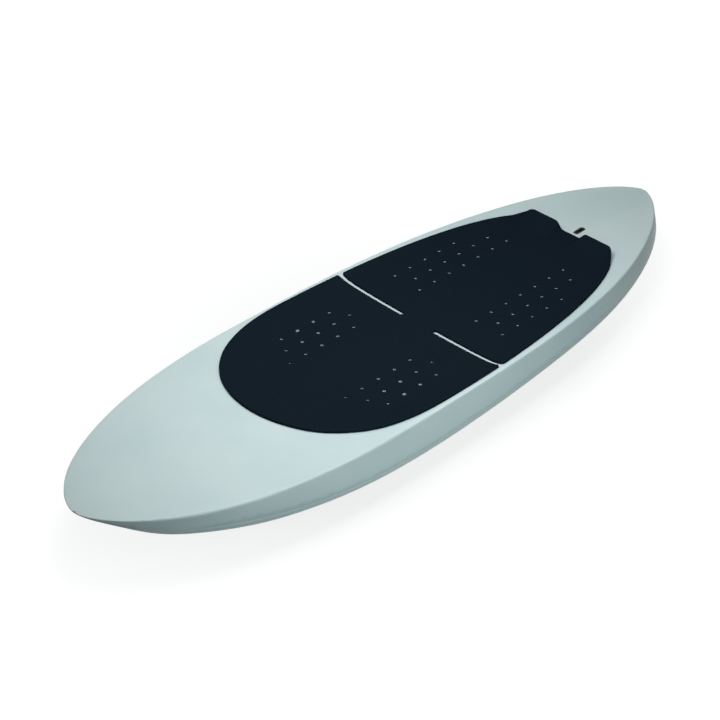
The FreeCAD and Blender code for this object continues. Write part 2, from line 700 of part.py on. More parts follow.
keep(make_leash_cup(), "leash_plug_cup")
keep(make_leash_bar(), "leash_plug_bar")
leash_well = box(
    "leash_well", "leash_cup_length + 2 * glue_gap", "leash_cup_width + 2 * glue_gap",
    "leash_cup_depth + glue_gap + cut_overrun", "leash_x", "0",
    "board_depth + leash_rise - leash_cup_depth - glue_gap",
)
leash_hole = doc.addObject("Part::Fillet", "leash_hole")
leash_hole.Base = leash_well
doc.recompute()
leash_hole.Edges = [
    (index, size("leash_cup_end_round") + size("glue_gap"), size("leash_cup_end_round") + size("glue_gap"))
    for index, edge in enumerate(leash_well.Shape.Edges, start=1)
    if is_upright(edge)
]


def leash_block_box(name, gap):
    margin = f"2 * leash_block_margin + 2 * {gap}"
    return box(
        name, f"leash_cup_length + {margin}", f"leash_cup_width + {margin}",
        f"leash_cup_depth + leash_block_margin + {gap} + cut_overrun", "leash_x", "0",
        f"board_depth + leash_rise - leash_cup_depth - leash_block_margin - {gap}",
    )


leash_block = common("leash_foam", [core_form, leash_block_box("leash_foam_box", "0")])
keep(cut("leash_foam_bored", leash_block, leash_hole), "leash_block")
leash_pocket = leash_block_box("leash_pocket", "glue_gap")

# Foil tracks and their nuts


def make_track(name, side):
    """A moulded track with a T groove, open at the bottom face, and a window for the nuts."""
    body = new_body(name)
    outline = sketch_on(body, f"{name}_outline")
    draw_rectangle(outline, "track_length", "track_width")
    pad(body, outline, f"{name}_solid", "track_height")
    slot_length = "track_length - 2 * track_end_wall"
    levels = (
        ("mouth", "0", "track_lip", "track_mouth_width"),
        ("groove", "track_lip", "track_lip + track_groove_height", "track_groove_width"),
        (
            "relief", "track_lip + track_groove_height",
            "track_lip + track_groove_height + track_relief_height", "track_relief_width",
        ),
    )
    for word, low, high, width in levels:
        section = sketch_on(body, f"{name}_{word}_section", "YZ_Plane")
        draw_step(section, low, high, width)
        pocket(body, section, f"{name}_{word}", slot_length, both_ways=True)
    window = sketch_on(body, f"{name}_window_section", "YZ_Plane")
    draw_step(window, "0", "track_lip", "track_groove_width")
    pocket(body, window, f"{name}_window", "track_window_length", both_ways=True)
    place(body, "track_middle_x", f"{side} * track_half_spacing", "0")
    return body


def make_nut(name, side, end):
    """A T nut with a tapped hole."""
    body = new_body(name)
    flange = sketch_on(body, f"{name}_flange_outline")
    draw_rectangle(flange, "nut_length", "nut_width")
    pad(body, flange, f"{name}_flange", "nut_flange_height")
    neck = sketch_on(body, f"{name}_neck_outline")
    draw_rectangle(neck, "nut_length", "nut_neck_width")
    pad(body, neck, f"{name}_neck", "nut_neck_height", reverse=True)
    thread = sketch_on(body, f"{name}_thread_circle")
    draw_circle(thread, "nut_bore")
    pocket(body, thread, f"{name}_thread", "2 * ( nut_flange_height + nut_neck_height )", both_ways=True)
    place(
        body, f"track_middle_x + {end} * bolt_half_spacing", f"{side} * track_half_spacing",
        "track_lip + nut_clearance",
    )
    return body


for word, side in (("left", 1), ("right", -1)):
    keep(make_track(f"track_{word}", side), f"foil_track_{word}")
    for end_word, end in (("front", 1), ("rear", -1)):
        keep(make_nut(f"nut_{end_word}_{word}", side, end), f"track_nut_{end_word}_{word}")


def track_pocket(word, side):
    return box(
        f"track_pocket_{word}", "track_length + 2 * glue_gap", "track_width + 2 * glue_gap",
        "track_height + glue_gap + cut_overrun", "track_middle_x", f"{side} * track_half_spacing",
        "0 - cut_overrun",
    )


track_pockets = fuse("track_pockets", [track_pocket("left", 1), track_pocket("right", -1)])


def foil_block_box(name, gap):
    return box(
        name, f"track_length + 2 * foil_block_margin + 2 * {gap}", f"2 * foil_block_half_width + 2 * {gap}",
        "board_depth + cut_overrun", "track_middle_x", "0", "0 - cut_overrun / 2",
    )


foil_block = common("foil_foam", [core_form, foil_block_box("foil_foam_box", "0")])
keep(cut("foil_foam_routed", foil_block, track_pockets), "foil_box_block")
foil_pocket = foil_block_box("foil_pocket", "glue_gap")

# Stringers from the foil block to the nose


def stringer_box(name, side, gap):
    start = "track_middle_x + track_length / 2 + foil_block_margin + glue_gap * 2"
    return box(
        name, f"stringer_nose_x - ( {start} ) + 2 * {gap}", f"stringer_thickness + 2 * {gap}",
        "board_depth * 2", f"( stringer_nose_x + {start} ) / 2", f"{side} * stringer_y",
        "0 - board_depth / 2",
    )


stringer_pockets = []
for word, side in (("left", 1), ("right", -1)):
    keep(common(f"web_{word}", [core_form, stringer_box(f"web_box_{word}", side, "0")]), f"stringer_{word}")
    stringer_pockets.append(stringer_box(f"web_pocket_{word}", side, "glue_gap"))

# Carry handle in the bottom


def make_tray():
    """A tub with a screwed rim, and a seat at each end for the bar."""
    body = new_body("tray")
    rim = sketch_on(body, "rim_outline")
    draw_rectangle(rim, "tray_length + 2 * tray_flange", "tray_width + 2 * tray_flange")
    pad(body, rim, "rim_plate", "tray_flange_thickness")
    outside = sketch_on(body, "tub_outline", height="tray_flange_thickness")
    draw_rectangle(outside, "tray_length", "tray_width")
    pad(body, outside, "tub_solid", "tray_depth - tray_flange_thickness")
    inside = sketch_on(body, "tub_inside")
    draw_rectangle(inside, "tray_length - 2 * tray_wall", "tray_width - 2 * tray_wall")
    hollow = pocket(body, inside, "tub_hollow", "tray_depth - tray_wall", reverse=True)
    half = size("tray_length") / 2
    corners = (
        ("tub_inner_corners", "tray_corner - tray_wall", half - size("tray_wall")),
        ("tub_corners", "tray_corner", half),
        ("rim_corners", "tray_corner + tray_flange", half + size("tray_flange")),
    )
    for name, radius, reach in corners:
        hollow = round_edges(body, hollow, name, radius, is_corner_at(reach))
    for word, turn in (("front", 1), ("rear", -1)):
        end = f"{turn} * ( tray_length / 2 - tray_wall )"
        ledge = sketch_on(body, f"{word}_ledge_section", "YZ_Plane", end)
        draw_step(ledge, "bar_drop + bar_height", "tray_depth - tray_wall / 2", "bar_width")
        pad(body, ledge, f"{word}_ledge", "tray_ledge_length", reverse=turn > 0)
    rim_holes = sketch_on(body, "rim_hole_circles")
    draw_corner_circles(rim_holes, "screw_shank + 2 * screw_clearance", RIM_SCREW_X, RIM_SCREW_Y)
    pocket(body, rim_holes, "rim_holes", "tray_flange_thickness", reverse=True)
    rim_heads = sketch_on(body, "rim_head_circles")
    draw_corner_circles(rim_heads, "screw_head + 2 * screw_clearance", RIM_SCREW_X, RIM_SCREW_Y)
    pocket(body, rim_heads, "rim_head_seats", "screw_head_height + screw_clearance", reverse=True)
    seat_holes = sketch_on(body, "seat_hole_circles", height="bar_drop + bar_height")
    draw_end_circles(seat_holes, "screw_shank + 2 * screw_clearance", BAR_SCREW_X)
    pocket(body, seat_holes, "seat_holes", "screw_length - bar_height + screw_clearance", reverse=True)
    place(body, "handle_x", "0", "0")
    return body


RIM_SCREW_X = "tray_length / 2 - tray_corner * 1.2"
RIM_SCREW_Y = "tray_width / 2 + tray_flange / 2"
BAR_SCREW_X = "tray_length / 2 - tray_wall - tray_ledge_length / 2"


def make_bar():
    """The bar that the hand holds, screwed to the seats of the tub."""
    body = new_body("bar")
    outline = sketch_on(body, "bar_outline")
    draw_rectangle(outline, "tray_length - 2 * tray_wall - 2 * bar_end_gap", "bar_width")
    solid = pad(body, outline, "bar_solid", "bar_height")
    round_edges(body, solid, "bar_corners", "bar_height / 2", is_upright)
    holes = sketch_on(body, "bar_hole_circles")
    draw_end_circles(holes, "screw_shank + 2 * screw_clearance", BAR_SCREW_X)
    pocket(body, holes, "bar_holes", "bar_height", reverse=True)
    heads = sketch_on(body, "bar_head_circles")
    draw_end_circles(heads, "screw_head + 2 * screw_clearance", BAR_SCREW_X)
    pocket(body, heads, "bar_head_seats", "screw_head_height + screw_clearance", reverse=True)
    place(body, "handle_x", "0", "bar_drop")
    return body


def make_grip():
    """The rubber sleeve on the bar."""
    body = new_body("grip")
    outline = sketch_on(body, "grip_outline", "YZ_Plane")
    draw_step(outline, "0", "bar_height + 2 * grip_wall", "bar_width + 2 * grip_wall")
    solid = pad(body, outline, "grip_solid", "grip_length", both_ways=True)
    round_edges(body, solid, "grip_corners", "grip_round", lambda edge: runs_along(edge, "x"))
    inside = sketch_on(body, "grip_inside", "YZ_Plane")
    low, high = "grip_wall - glue_gap / 2", "grip_wall + bar_height + glue_gap / 2"
    draw_step(inside, low, high, "bar_width + glue_gap")
    pocket(body, inside, "grip_hollow", "grip_length + cut_overrun", both_ways=True)
    place(body, "handle_x", "0", "bar_drop - grip_wall")
    return body


def make_screw():
    """A countersunk screw that points up, with its head on Z = 0."""
    head = doc.addObject("Part::Cone", "screw_head_cone")
    head.setExpression("Radius1", cell("screw_head / 2"))
    head.setExpression("Radius2", cell("screw_shank / 2"))
    head.setExpression("Height", cell("screw_head_height"))
    shank = cylinder("screw_shank_bar", "screw_shank", "screw_length")
    socket = doc.addObject("Part::Prism", "screw_socket_prism")
    socket.Polygon = 6
    socket.setExpression("Circumradius", cell("screw_socket / 2"))
    socket.setExpression("Height", cell("screw_socket_depth"))
    return cut("handle_screw", fuse("screw_solid", [head, shank]), socket)


keep(make_tray(), "handle_tray")
keep(make_bar(), "handle_bar")
keep(make_grip(), "handle_grip")
screw = make_screw()
rim_x = size("tray_length") / 2 - size("tray_corner") * 1.2
rim_y = size("tray_width") / 2 + size("tray_flange") / 2
bar_x = size("tray_length") / 2 - size("tray_wall") - size("tray_ledge_length") / 2
rim_spots = [Vector(size("handle_x") + x, y, 0) for x in (-rim_x, rim_x) for y in (-rim_y, rim_y)]
bar_spots = [Vector(size("handle_x") + x, 0, size("bar_drop")) for x in (-bar_x, bar_x)]
doc.recompute()
keep(shape_of("screws", copies(screw, rim_spots + bar_spots)), "handle_screws")
rim_bore = cylinder("rim_bore", "screw_shank + 2 * screw_clearance", "screw_length + screw_clearance")
doc.recompute()
rim_bores = shape_of("rim_bores", copies(rim_bore, rim_spots))

tray_well = box(
    "tray_well", "tray_length + 2 * glue_gap", "tray_width + 2 * glue_gap",
    "tray_depth + glue_gap + cut_overrun", "handle_x", "0", "0 - cut_overrun",
)
rim_well = box(
    "rim_well", "tray_length + 2 * tray_flange + 2 * glue_gap", "tray_width + 2 * tray_flange + 2 * glue_gap",
    "tray_flange_thickness + glue_gap + cut_overrun", "handle_x", "0", "0 - cut_overrun",
)


def rounded_well(name, well, radius):
    """A well with round corners."""
    item = doc.addObject("Part::Fillet", name)
    item.Base = well
    doc.recompute()
    item.Edges = [
        (index, radius, radius) for index, edge in enumerate(well.Shape.Edges, start=1) if is_upright(edge)
    ]
    return item


tray_hole = rounded_well("tray_hole", tray_well, size("tray_corner") + size("glue_gap"))
rim_hole = rounded_well("rim_hole", rim_well, size("tray_corner") + size("tray_flange") + size("glue_gap"))


def handle_block_box(name, gap):
    reach = f"2 * tray_flange + 2 * handle_block_margin + 2 * {gap}"
    return box(
        name, f"tray_length + {reach}", f"tray_width + {reach}", f"handle_block_height + {gap} + cut_overrun",
        "handle_x", "0", "0 - cut_overrun",
    )


handle_foam = common("handle_foam", [core_form, handle_block_box("handle_foam_box", "0")])
handle_wells = fuse("handle_wells", [tray_hole, rim_bores])
keep(cut("handle_foam_routed", handle_foam, handle_wells), "handle_block")
handle_pocket = handle_block_box("handle_pocket", "glue_gap")

# Vent in the bottom


def make_vent_housing():
    """A flanged barrel with a seat for the membrane and its cap, and an air way into the core."""
    body = new_body("vent_barrel")
    steps = (
        ("vent_flange", "vent_flange_diameter", "0", "vent_flange_thickness"),
        ("vent_body", "vent_barrel_diameter", "vent_flange_thickness", "vent_depth - vent_flange_thickness"),
    )
    for name, diameter, start, height in steps:
        circle = sketch_on(body, f"{name}_circle", height=start)
        draw_circle(circle, diameter)
        pad(body, circle, name, height)
    bores = (("vent_seat", "vent_seat_diameter", "vent_seat_depth"), ("air_way", "vent_bore", "vent_depth"))
    for name, diameter, depth in bores:
        circle = sketch_on(body, f"{name}_circle")
        draw_circle(circle, diameter)
        pocket(body, circle, name, depth, reverse=True)
    place(body, "vent_x", "0", "0")
    return body


def make_vent_cap():
    """The cap, with a coin slot and a ring of air holes."""
    body = new_body("vent_lid")
    disc = sketch_on(body, "lid_circle")
    draw_circle(disc, "vent_seat_diameter - 2 * vent_play")
    pad(body, disc, "lid_disc", "vent_cap_height")
    slot = sketch_on(body, "coin_slot_outline")
    draw_rectangle(slot, "cap_slot_length", "cap_slot_width")
    pocket(body, slot, "coin_slot", "cap_slot_depth", reverse=True)
    holes = sketch_on(body, "air_hole_circles")
    draw_corner_circles(holes, "cap_hole_diameter", "cap_hole_circle / 2 * 0.5", "cap_hole_circle / 2 * 0.75")
    pocket(body, holes, "air_holes", "vent_cap_height", reverse=True)
    under_ring = "vent_seat_depth - membrane_thickness - ring_section - 3 * vent_play"
    place(body, "vent_x", "0", f"{under_ring} - vent_cap_height")
    return body


keep(make_vent_housing(), "vent_housing")
keep(
    cylinder(
        "vent_disc", "membrane_diameter", "membrane_thickness", "vent_x", "0",
        "vent_seat_depth - membrane_thickness - vent_play",
    ),
    "vent_membrane",
)
ring = doc.addObject("Part::Torus", "vent_ring")
ring.setExpression("Radius1", cell("ring_diameter / 2"))
ring.setExpression("Radius2", cell("ring_section / 2"))
place(ring, "vent_x", "0", "vent_seat_depth - membrane_thickness - 2 * vent_play - ring_section / 2")
keep(ring, "vent_o_ring")
keep(make_vent_cap(), "vent_cap")
vent_flange_well = cylinder(
    "vent_flange_well", "vent_flange_diameter + 2 * glue_gap",
    "vent_flange_thickness + glue_gap + cut_overrun", "vent_x", "0", "0 - cut_overrun",
)
vent_well = cylinder(
    "vent_well", "vent_barrel_diameter + 2 * glue_gap", "vent_depth + glue_gap + cut_overrun", "vent_x", "0",
    "0 - cut_overrun",
)

# Skins and core

doc.recompute()
hollow_hull = cut("hollow_hull", outer_form, inner_form)
upper_shell = common("upper_shell", [hollow_hull, over_seam])
lower_shell = cut("lower_shell", hollow_hull, over_seam)
deck_openings = fuse("deck_openings", [collar_holes, leash_hole])
keep(cut("deck_shell", upper_shell, deck_openings), "deck_skin")
bottom_openings = fuse(
    "bottom_openings", [track_pockets, tray_hole, rim_hole, rim_bores, vent_flange_well, vent_well]
)
keep(cut("bottom_shell", lower_shell, bottom_openings), "bottom_skin")
core_pockets = fuse(
    "core_pockets", [foil_pocket, leash_pocket, handle_pocket, vent_well] + stringer_pockets + block_pockets
)
keep(cut("core_foam", core_form, core_pockets), "eps_core")

# Deck pad and tail kick


def pad_half_width_at(x):
    """Half width of the deck pad at a place along the board."""
    widest = size("pad_widest_x")
    if x > widest:
        way = (x - widest) / (size("pad_nose_x") - widest)
        return size("pad_half_width") * (1 - way**PAD_NOSE_POWER) ** (1 / PAD_NOSE_ROOT)
    way = (widest - x) / (widest - size("pad_close_x"))
    return size("pad_half_width") * (1 - way**PAD_TAIL_POWER) ** (1 / PAD_TAIL_ROOT)


def pad_block(inset):
    """The outline of the pad as an upright block, drawn in by that much."""
    nose, tail = size("pad_nose_x") - inset, size("pad_tail_x") + inset
    places = []
    for step in range(PAD_OUTLINE_STEPS + 1):
        x = tail + (nose - tail) * math.sin(math.pi / 2 * step / PAD_OUTLINE_STEPS)
        places.append(Vector(x, pad_half_width_at(x) - inset, 0))
    places[-1].y = 0
    mirrored = [Vector(spot.x, -spot.y, 0) for spot in reversed(places[:-1])]
    side = Part.BSplineCurve()
    side.interpolate(places + mirrored)
    wire = Part.Wire([side.toShape(), Part.makeLine(mirrored[-1], places[0])])
    block = Part.Face(wire).extrude(Vector(0, 0, size("board_depth") * 2))
    rear = [edge for edge in block.Edges if is_upright(edge) and edge.CenterOfMass.x < tail + size("glue_gap")]
    return block.makeFillet(size("pad_tail_corner") - inset, rear)


def pad_prism():
    """The outline of the pad as an upright block, with its two cross slots."""
    block = pad_block(0)
    for side_y in (1, -1):
        block = block.cut(slot_block(side_y))
    low, high = (size("pad_slot_x") + turn * size("pad_slot_width") * 0.6 for turn in (-1, 1))
    mouths = []
    for edge in block.Edges:
        centre = edge.CenterOfMass
        if is_upright(edge) and low < centre.x < high and abs(centre.y) > size("pad_half_width") * 0.9:
            mouths.append(edge)
    return block.makeFillet(size("pad_slot_corner"), mouths)


def slot_block(side):
    """One cross slot: straight, with a round inner end."""
    width = size("pad_slot_width")
    inner = size("pad_bridge_half") + width / 2
    length = size("pad_half_width") + size("cut_overrun") - inner
    bar = Part.makeBox(width, length, size("board_depth") * 2)
    bar.translate(Vector(size("pad_slot_x") - width / 2, inner if side > 0 else -inner - length, 0))
    end = Part.makeCylinder(width / 2, size("board_depth") * 2, Vector(size("pad_slot_x"), side * inner, 0))
    return bar.fuse(end).removeSplitter()


KICK_STATION_SHARES = (0.0, 0.25, 0.55, 0.8, 1.0)
KICK_RISE_POWER = 1.5


def kick_wire(x, side, height, grow):
    """A cross-section of one half of the tail kick: an upright base with a rounded crown."""
    full = size("kick_height")
    share = height / full
    base = size("board_depth") - size("cut_overrun") / 2
    foot_in = size("kick_inner_foot") - grow
    foot_out = size("kick_outer_foot") + grow
    crest_in = size("kick_inner_foot") + (size("kick_inner_crest") - size("kick_inner_foot")) * share - grow
    crest_out = size("kick_outer_foot") - (size("kick_outer_foot") - size("kick_outer_crest")) * share + grow
    top = size("board_depth") + height
    deck = size("board_depth")
    crown = [
        (foot_in, deck), (foot_in + (crest_in - foot_in) * 0.5, deck + height * 0.55), (crest_in, top),
        (crest_in + (crest_out - crest_in) * 0.2, top), (crest_out - (crest_out - crest_in) * 0.2, top),
        (crest_out, top), (foot_out - (foot_out - crest_out) * 0.4, deck + height * 0.6), (foot_out, deck),
    ]
    poles = [Vector(x, side * y, z) for y, z in crown]
    spans = len(poles) - 3
    over = Part.BSplineCurve()
    over.buildFromPolesMultsKnots(poles, [4] + [1] * (spans - 1) + [4], list(range(spans + 1)), False, 3)
    feet = [poles[-1], Vector(x, side * foot_out, base), Vector(x, side * foot_in, base), poles[0]]
    return Part.Wire([over.toShape(), Part.makePolygon(feet)])


def kick_form(side, lowest, highest, front, rear, grow):
    """One half of the kick: a loft from its thin front to its rear face."""
    wires = []
    for share in KICK_STATION_SHARES:
        x = front + (rear - front) * share
        wires.append(kick_wire(x, side, lowest + (highest - lowest) * share**KICK_RISE_POWER, grow))
    return Part.makeLoft(wires, True, False, False, 5)


doc.recompute()
pad_top = outer_form.Shape.translated(Vector(0, 0, size("glue_gap") + size("pad_thickness")))
pad_seat = outer_form.Shape.translated(Vector(0, 0, size("glue_gap")))
prism = pad_prism()
pad_sheet = prism.common(pad_top)
kick_rear = size("pad_tail_x")
kick_front = kick_rear + size("kick_length")
sheet_top = size("pad_thickness") + size("glue_gap")
wedge_height = size("kick_height") - size("pad_thickness")
wedge_rear = kick_rear + size("pad_thickness")
wedge_limit = pad_block(size("pad_thickness"))
nest_limit = pad_block(size("pad_thickness") - size("glue_gap"))
for word, side in (("left", 1), ("right", -1)):
    bump = kick_form(side, sheet_top / 2, size("kick_height"), kick_front, kick_rear, 0).common(prism)
    pad_sheet = pad_sheet.fuse(bump)
for word, side in (("left", 1), ("right", -1)):
    inset = -size("pad_thickness")
    wedge = kick_form(
        side, size("kick_wedge_toe"), wedge_height, kick_front - size("pad_thickness") * 2, wedge_rear, inset
    )
    nest = kick_form(
        side, size("kick_wedge_toe") + size("glue_gap"), wedge_height + size("glue_gap"),
        kick_front - size("pad_thickness") * 2 + size("glue_gap"), wedge_rear - size("glue_gap"),
        inset + size("glue_gap"),
    )
    pad_sheet = pad_sheet.cut(nest.common(nest_limit))
    keep(shape_of(f"wedge_{word}", wedge.common(wedge_limit).cut(pad_seat)), f"kick_wedge_{word}")
pad_sheet = pad_sheet.cut(pad_seat).cut(collar_holes.Shape)
keep(shape_of("pad_foam", pad_sheet), "deck_pad")

# Checks, then one file for each sub-part

doc.recompute()
for item in doc.Objects:
    if "Invalid" in item.State or "Error" in item.State:
        raise RuntimeError(f"{item.Name} did not compute: {item.State}")
for item in SUBPARTS:
    if item.Shape.isNull() or not item.Shape.isValid():
        raise RuntimeError(f"{item.Label} has no sound shape")
    if not item.Shape.Solids:
        raise RuntimeError(f"{item.Label} holds no solid")

os.makedirs("parts", exist_ok=True)
for item in SUBPARTS:
    item.Shape.exportStep(f"parts/{item.Label}.step")
    limits = item.Shape.BoundBox
    print(
        f"{item.Label}: {len(item.Shape.Solids)} solids, {item.Shape.Volume / 1000:.1f} cm3, "
        f"x {limits.XMin:.1f} to {limits.XMax:.1f}, y {limits.YMin:.1f} to {limits.YMax:.1f}, "
        f"z {limits.ZMin:.1f} to {limits.ZMax:.1f}"
    )
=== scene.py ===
# %% [markdown]
# # Dressing a wing foil board
#
# A wing foil board is a foam core in a painted sandwich shell, with a soft foam pad on its deck
# and fittings let into both faces. The construction comes as a fixed frame of solids. This
# notebook gives every solid its finish, draws the nose thin, softens the moulded fittings, and
# models anew what is soft: the deck pad with its tail kick, and the sleeve of the carry handle.

# %% Load the frame
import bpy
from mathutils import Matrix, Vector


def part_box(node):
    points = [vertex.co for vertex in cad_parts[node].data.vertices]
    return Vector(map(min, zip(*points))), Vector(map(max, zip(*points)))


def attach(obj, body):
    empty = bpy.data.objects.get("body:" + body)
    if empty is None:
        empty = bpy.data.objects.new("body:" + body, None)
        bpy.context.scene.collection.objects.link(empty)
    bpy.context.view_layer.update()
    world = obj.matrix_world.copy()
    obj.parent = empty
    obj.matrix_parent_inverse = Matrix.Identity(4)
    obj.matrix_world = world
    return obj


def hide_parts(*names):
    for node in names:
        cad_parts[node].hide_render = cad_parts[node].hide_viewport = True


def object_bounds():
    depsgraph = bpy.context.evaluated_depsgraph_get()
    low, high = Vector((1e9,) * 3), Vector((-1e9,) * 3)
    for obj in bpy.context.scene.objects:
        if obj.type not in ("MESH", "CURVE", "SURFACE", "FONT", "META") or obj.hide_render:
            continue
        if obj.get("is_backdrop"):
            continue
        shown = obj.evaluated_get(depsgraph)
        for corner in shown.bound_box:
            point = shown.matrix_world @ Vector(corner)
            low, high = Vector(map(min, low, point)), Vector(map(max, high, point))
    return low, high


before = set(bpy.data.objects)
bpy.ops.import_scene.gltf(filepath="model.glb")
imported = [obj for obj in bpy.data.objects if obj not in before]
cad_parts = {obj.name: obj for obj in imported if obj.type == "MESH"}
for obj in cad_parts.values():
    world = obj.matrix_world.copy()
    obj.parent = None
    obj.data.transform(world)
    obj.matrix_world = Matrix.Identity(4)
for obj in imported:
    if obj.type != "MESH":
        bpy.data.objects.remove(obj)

cad_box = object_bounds()

# %% [markdown]
# ## Modelling tools
#
# Blender's own modules are enough: bpy for the scene and its operators, bmesh for meshes, and
# mathutils for vectors, rays and nearest points. The frame is in metres and a board builder
# thinks in millimetres, so sizes below are written as a number times MM.

# %% Bring in the modelling tools
import math
import bmesh
import bpy
from mathutils import Matrix, Vector
from mathutils.bvhtree import BVHTree
from mathutils.geometry import delaunay_2d_cdt
from mathutils.kdtree import KDTree

MM = 0.001
scene = bpy.context.scene
print("one unit is a metre, and", MM, "of it a millimetre")

# %% [markdown]
# ## The camera
#
# The board is seen from above its port side, with the nose towards the viewer. The place and
# the directions below come from fitting a pinhole camera to the pad's 64 light dots, which lie
# in straight rows 40 mm apart. A camera could be aimed at a point with a constraint, but this
# one has no such point: its matrix is its three directions as columns.

# %% Place the camera
CAMERA_PLACE = Vector((2.1046, 2.2611, 2.2807))
CAMERA_RIGHT = Vector((-0.72698, 0.68583, -0.03364))
CAMERA_UP = Vector((-0.42062, -0.40606, 0.81129))
CAMERA_LENS = 102.55

back = CAMERA_RIGHT.cross(CAMERA_UP).normalized()
up = back.cross(CAMERA_RIGHT).normalized()
turn = Matrix((CAMERA_RIGHT.normalized(), up, back)).transposed()
camera = bpy.data.objects.new("camera", bpy.data.cameras.new("camera"))
camera.data.lens = CAMERA_LENS
camera.matrix_world = Matrix.Translation(CAMERA_PLACE) @ turn.to_4x4()
scene.collection.objects.link(camera)
scene.camera = camera
scene.view_settings.view_transform = "Standard"
print("camera", round(CAMERA_PLACE.length, 2), "m from the middle of the board")

# %% [markdown]
# ## Small node helpers
#
# The sky, the floor and the paints all need the same few nodes: a sum, a change of range and a
# mix of two shaders. Each could be made by hand where it is needed, but a helper keeps the
# later cells short. The last helper tells the rays that show a surface to the viewer from the
# rays that only carry light, which is how a studio can look white and still light softly.

# %% Node helpers
def math_node(tree, operation, *values):
    """A Math node on numbers or outputs."""
    node = tree.nodes.new("ShaderNodeMath")
    node.operation = operation
    for socket, value in zip(node.inputs, values):
        if isinstance(value, bpy.types.NodeSocket):
            tree.links.new(value, socket)
        else:
            socket.default_value = value
    return node.outputs[0]


def range_node(tree, source, low, high, start=0.0, end=1.0, curve="LINEAR"):
    """A Map Range node that turns start to end of its source into low to high."""
    node = tree.nodes.new("ShaderNodeMapRange")
    node.interpolation_type = curve
    node.inputs["From Min"].default_value = start
    node.inputs["From Max"].default_value = end
    node.inputs["To Min"].default_value = low
    node.inputs["To Max"].default_value = high
    tree.links.new(source, node.inputs["Value"])
    return node.outputs["Result"]


def mix_node(tree, share, first, second):
    """A Mix Shader node: share 0 gives the first shader, share 1 the second."""
    node = tree.nodes.new("ShaderNodeMixShader")
    for socket, value in zip(node.inputs, (share, first, second)):
        tree.links.new(value, socket)
    return node.outputs[0]


def seen_ray(tree):
    """An output that is 1 for rays that show a surface to the viewer, and 0 for light."""
    path = tree.nodes.new("ShaderNodeLightPath").outputs
    either = math_node(tree, "MAXIMUM", path["Is Camera Ray"], path["Is Glossy Ray"])
    return math_node(tree, "MAXIMUM", either, path["Is Transmission Ray"])


print("helpers: math_node, range_node, mix_node, seen_ray")

# %% [markdown]
# ## The sky
#
# A plain grey world would light all sides alike. This one is dimmer at the horizon than
# overhead, so the rails fall off in tone towards the tips and the board looks round. The
# height of a direction, its Z, sets the strength. The viewer and reflections see plain white.

# %% Light the sky
SKY_ZENITH = 0.22
SKY_HORIZON = 0.05
SHADE_TINT = (0.89, 1.0, 1.01)

world = bpy.data.worlds.new("studio")
scene.world = world
world.use_nodes = True
sky = world.node_tree
direction = sky.nodes.new("ShaderNodeTexCoord")
parts = sky.nodes.new("ShaderNodeSeparateXYZ")
sky.links.new(direction.outputs["Generated"], parts.inputs[0])
dim_sky = sky.nodes["Background"]
dim_sky.inputs["Color"].default_value = (*SHADE_TINT, 1)
strength = range_node(sky, parts.outputs["Z"], SKY_HORIZON, SKY_ZENITH)
sky.links.new(strength, dim_sky.inputs["Strength"])
white_sky = sky.nodes.new("ShaderNodeBackground")
white_sky.inputs["Color"].default_value = (1, 1, 1, 1)
whole_sky = mix_node(sky, seen_ray(sky), dim_sky.outputs[0], white_sky.outputs[0])
sky.links.new(whole_sky, sky.nodes["World Output"].inputs[0])
print("sky from", SKY_HORIZON, "at the horizon to", SKY_ZENITH, "overhead")

# %% [markdown]
# ## The softboxes
#
# A square softbox hangs over the deck, so the light falls off gently towards nose and tail.
# A weaker, cooler one at the port side lights the middle of the rail. Sun lamps would light
# every place alike, and area lamps near the board give the falloff.

# %% Hang the softboxes
SOFTBOX_POWER = 9.6
SOFTBOX_WIDTH = 0.8
SOFTBOX_PLACE = Vector((0.06, -0.02, 1.10))
SIDE_POWER = 2.6
SIDE_WIDTH = 0.6
SIDE_PLACE = Vector((0.16, 0.92, 0.46))
SIDE_TINT = (0.86, 0.99, 1.0)


def hang_softbox(name, power, width, place, tint=(1, 1, 1)):
    """A square lamp that looks straight across at the board's centreline."""
    lamp = bpy.data.objects.new(name, bpy.data.lights.new(name, "AREA"))
    lamp.data.energy = power
    lamp.data.size = width
    lamp.data.color = tint
    lamp.location = place
    lamp.rotation_euler = Vector((0, place.y, place.z)).to_track_quat("Z", "Y").to_euler()
    scene.collection.objects.link(lamp)


hang_softbox("softbox", SOFTBOX_POWER, SOFTBOX_WIDTH, SOFTBOX_PLACE)
hang_softbox("side_softbox", SIDE_POWER, SIDE_WIDTH, SIDE_PLACE, SIDE_TINT)
print("softboxes of", SOFTBOX_POWER, "and", SIDE_POWER, "W")

# %% [markdown]
# ## The floor
#
# The board rests on its flat bottom, on a plain pale floor. A small sheet would do, but its
# edge could show in a low view, so the plane is made very wide. It lies a hair below the board,
# so that the two faces don't flicker through each other.

# %% Lay the floor
FLOOR_WIDTH = 60
FLOOR_GAP = 0.2 * MM

bpy.ops.object.select_all(action="DESELECT")
bpy.ops.mesh.primitive_plane_add(size=FLOOR_WIDTH, location=(0, 0, cad_box[0][2] - FLOOR_GAP))
floor = bpy.context.object
floor.name = "floor"
floor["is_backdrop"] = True
print("floor at", round(floor.location.z, 4), "m")

# %% [markdown]
# ## The paper of the floor
#
# A white floor would throw so much light onto the rails that they lose their form. So the
# light that this one throws back is that of grey paper. A little light of its own reaches the
# underside of the board, so that this side can be looked at too.

# %% Mix the paper for light
FLOOR_BOUNCE = 0.22
FLOOR_LIGHT = 0.11

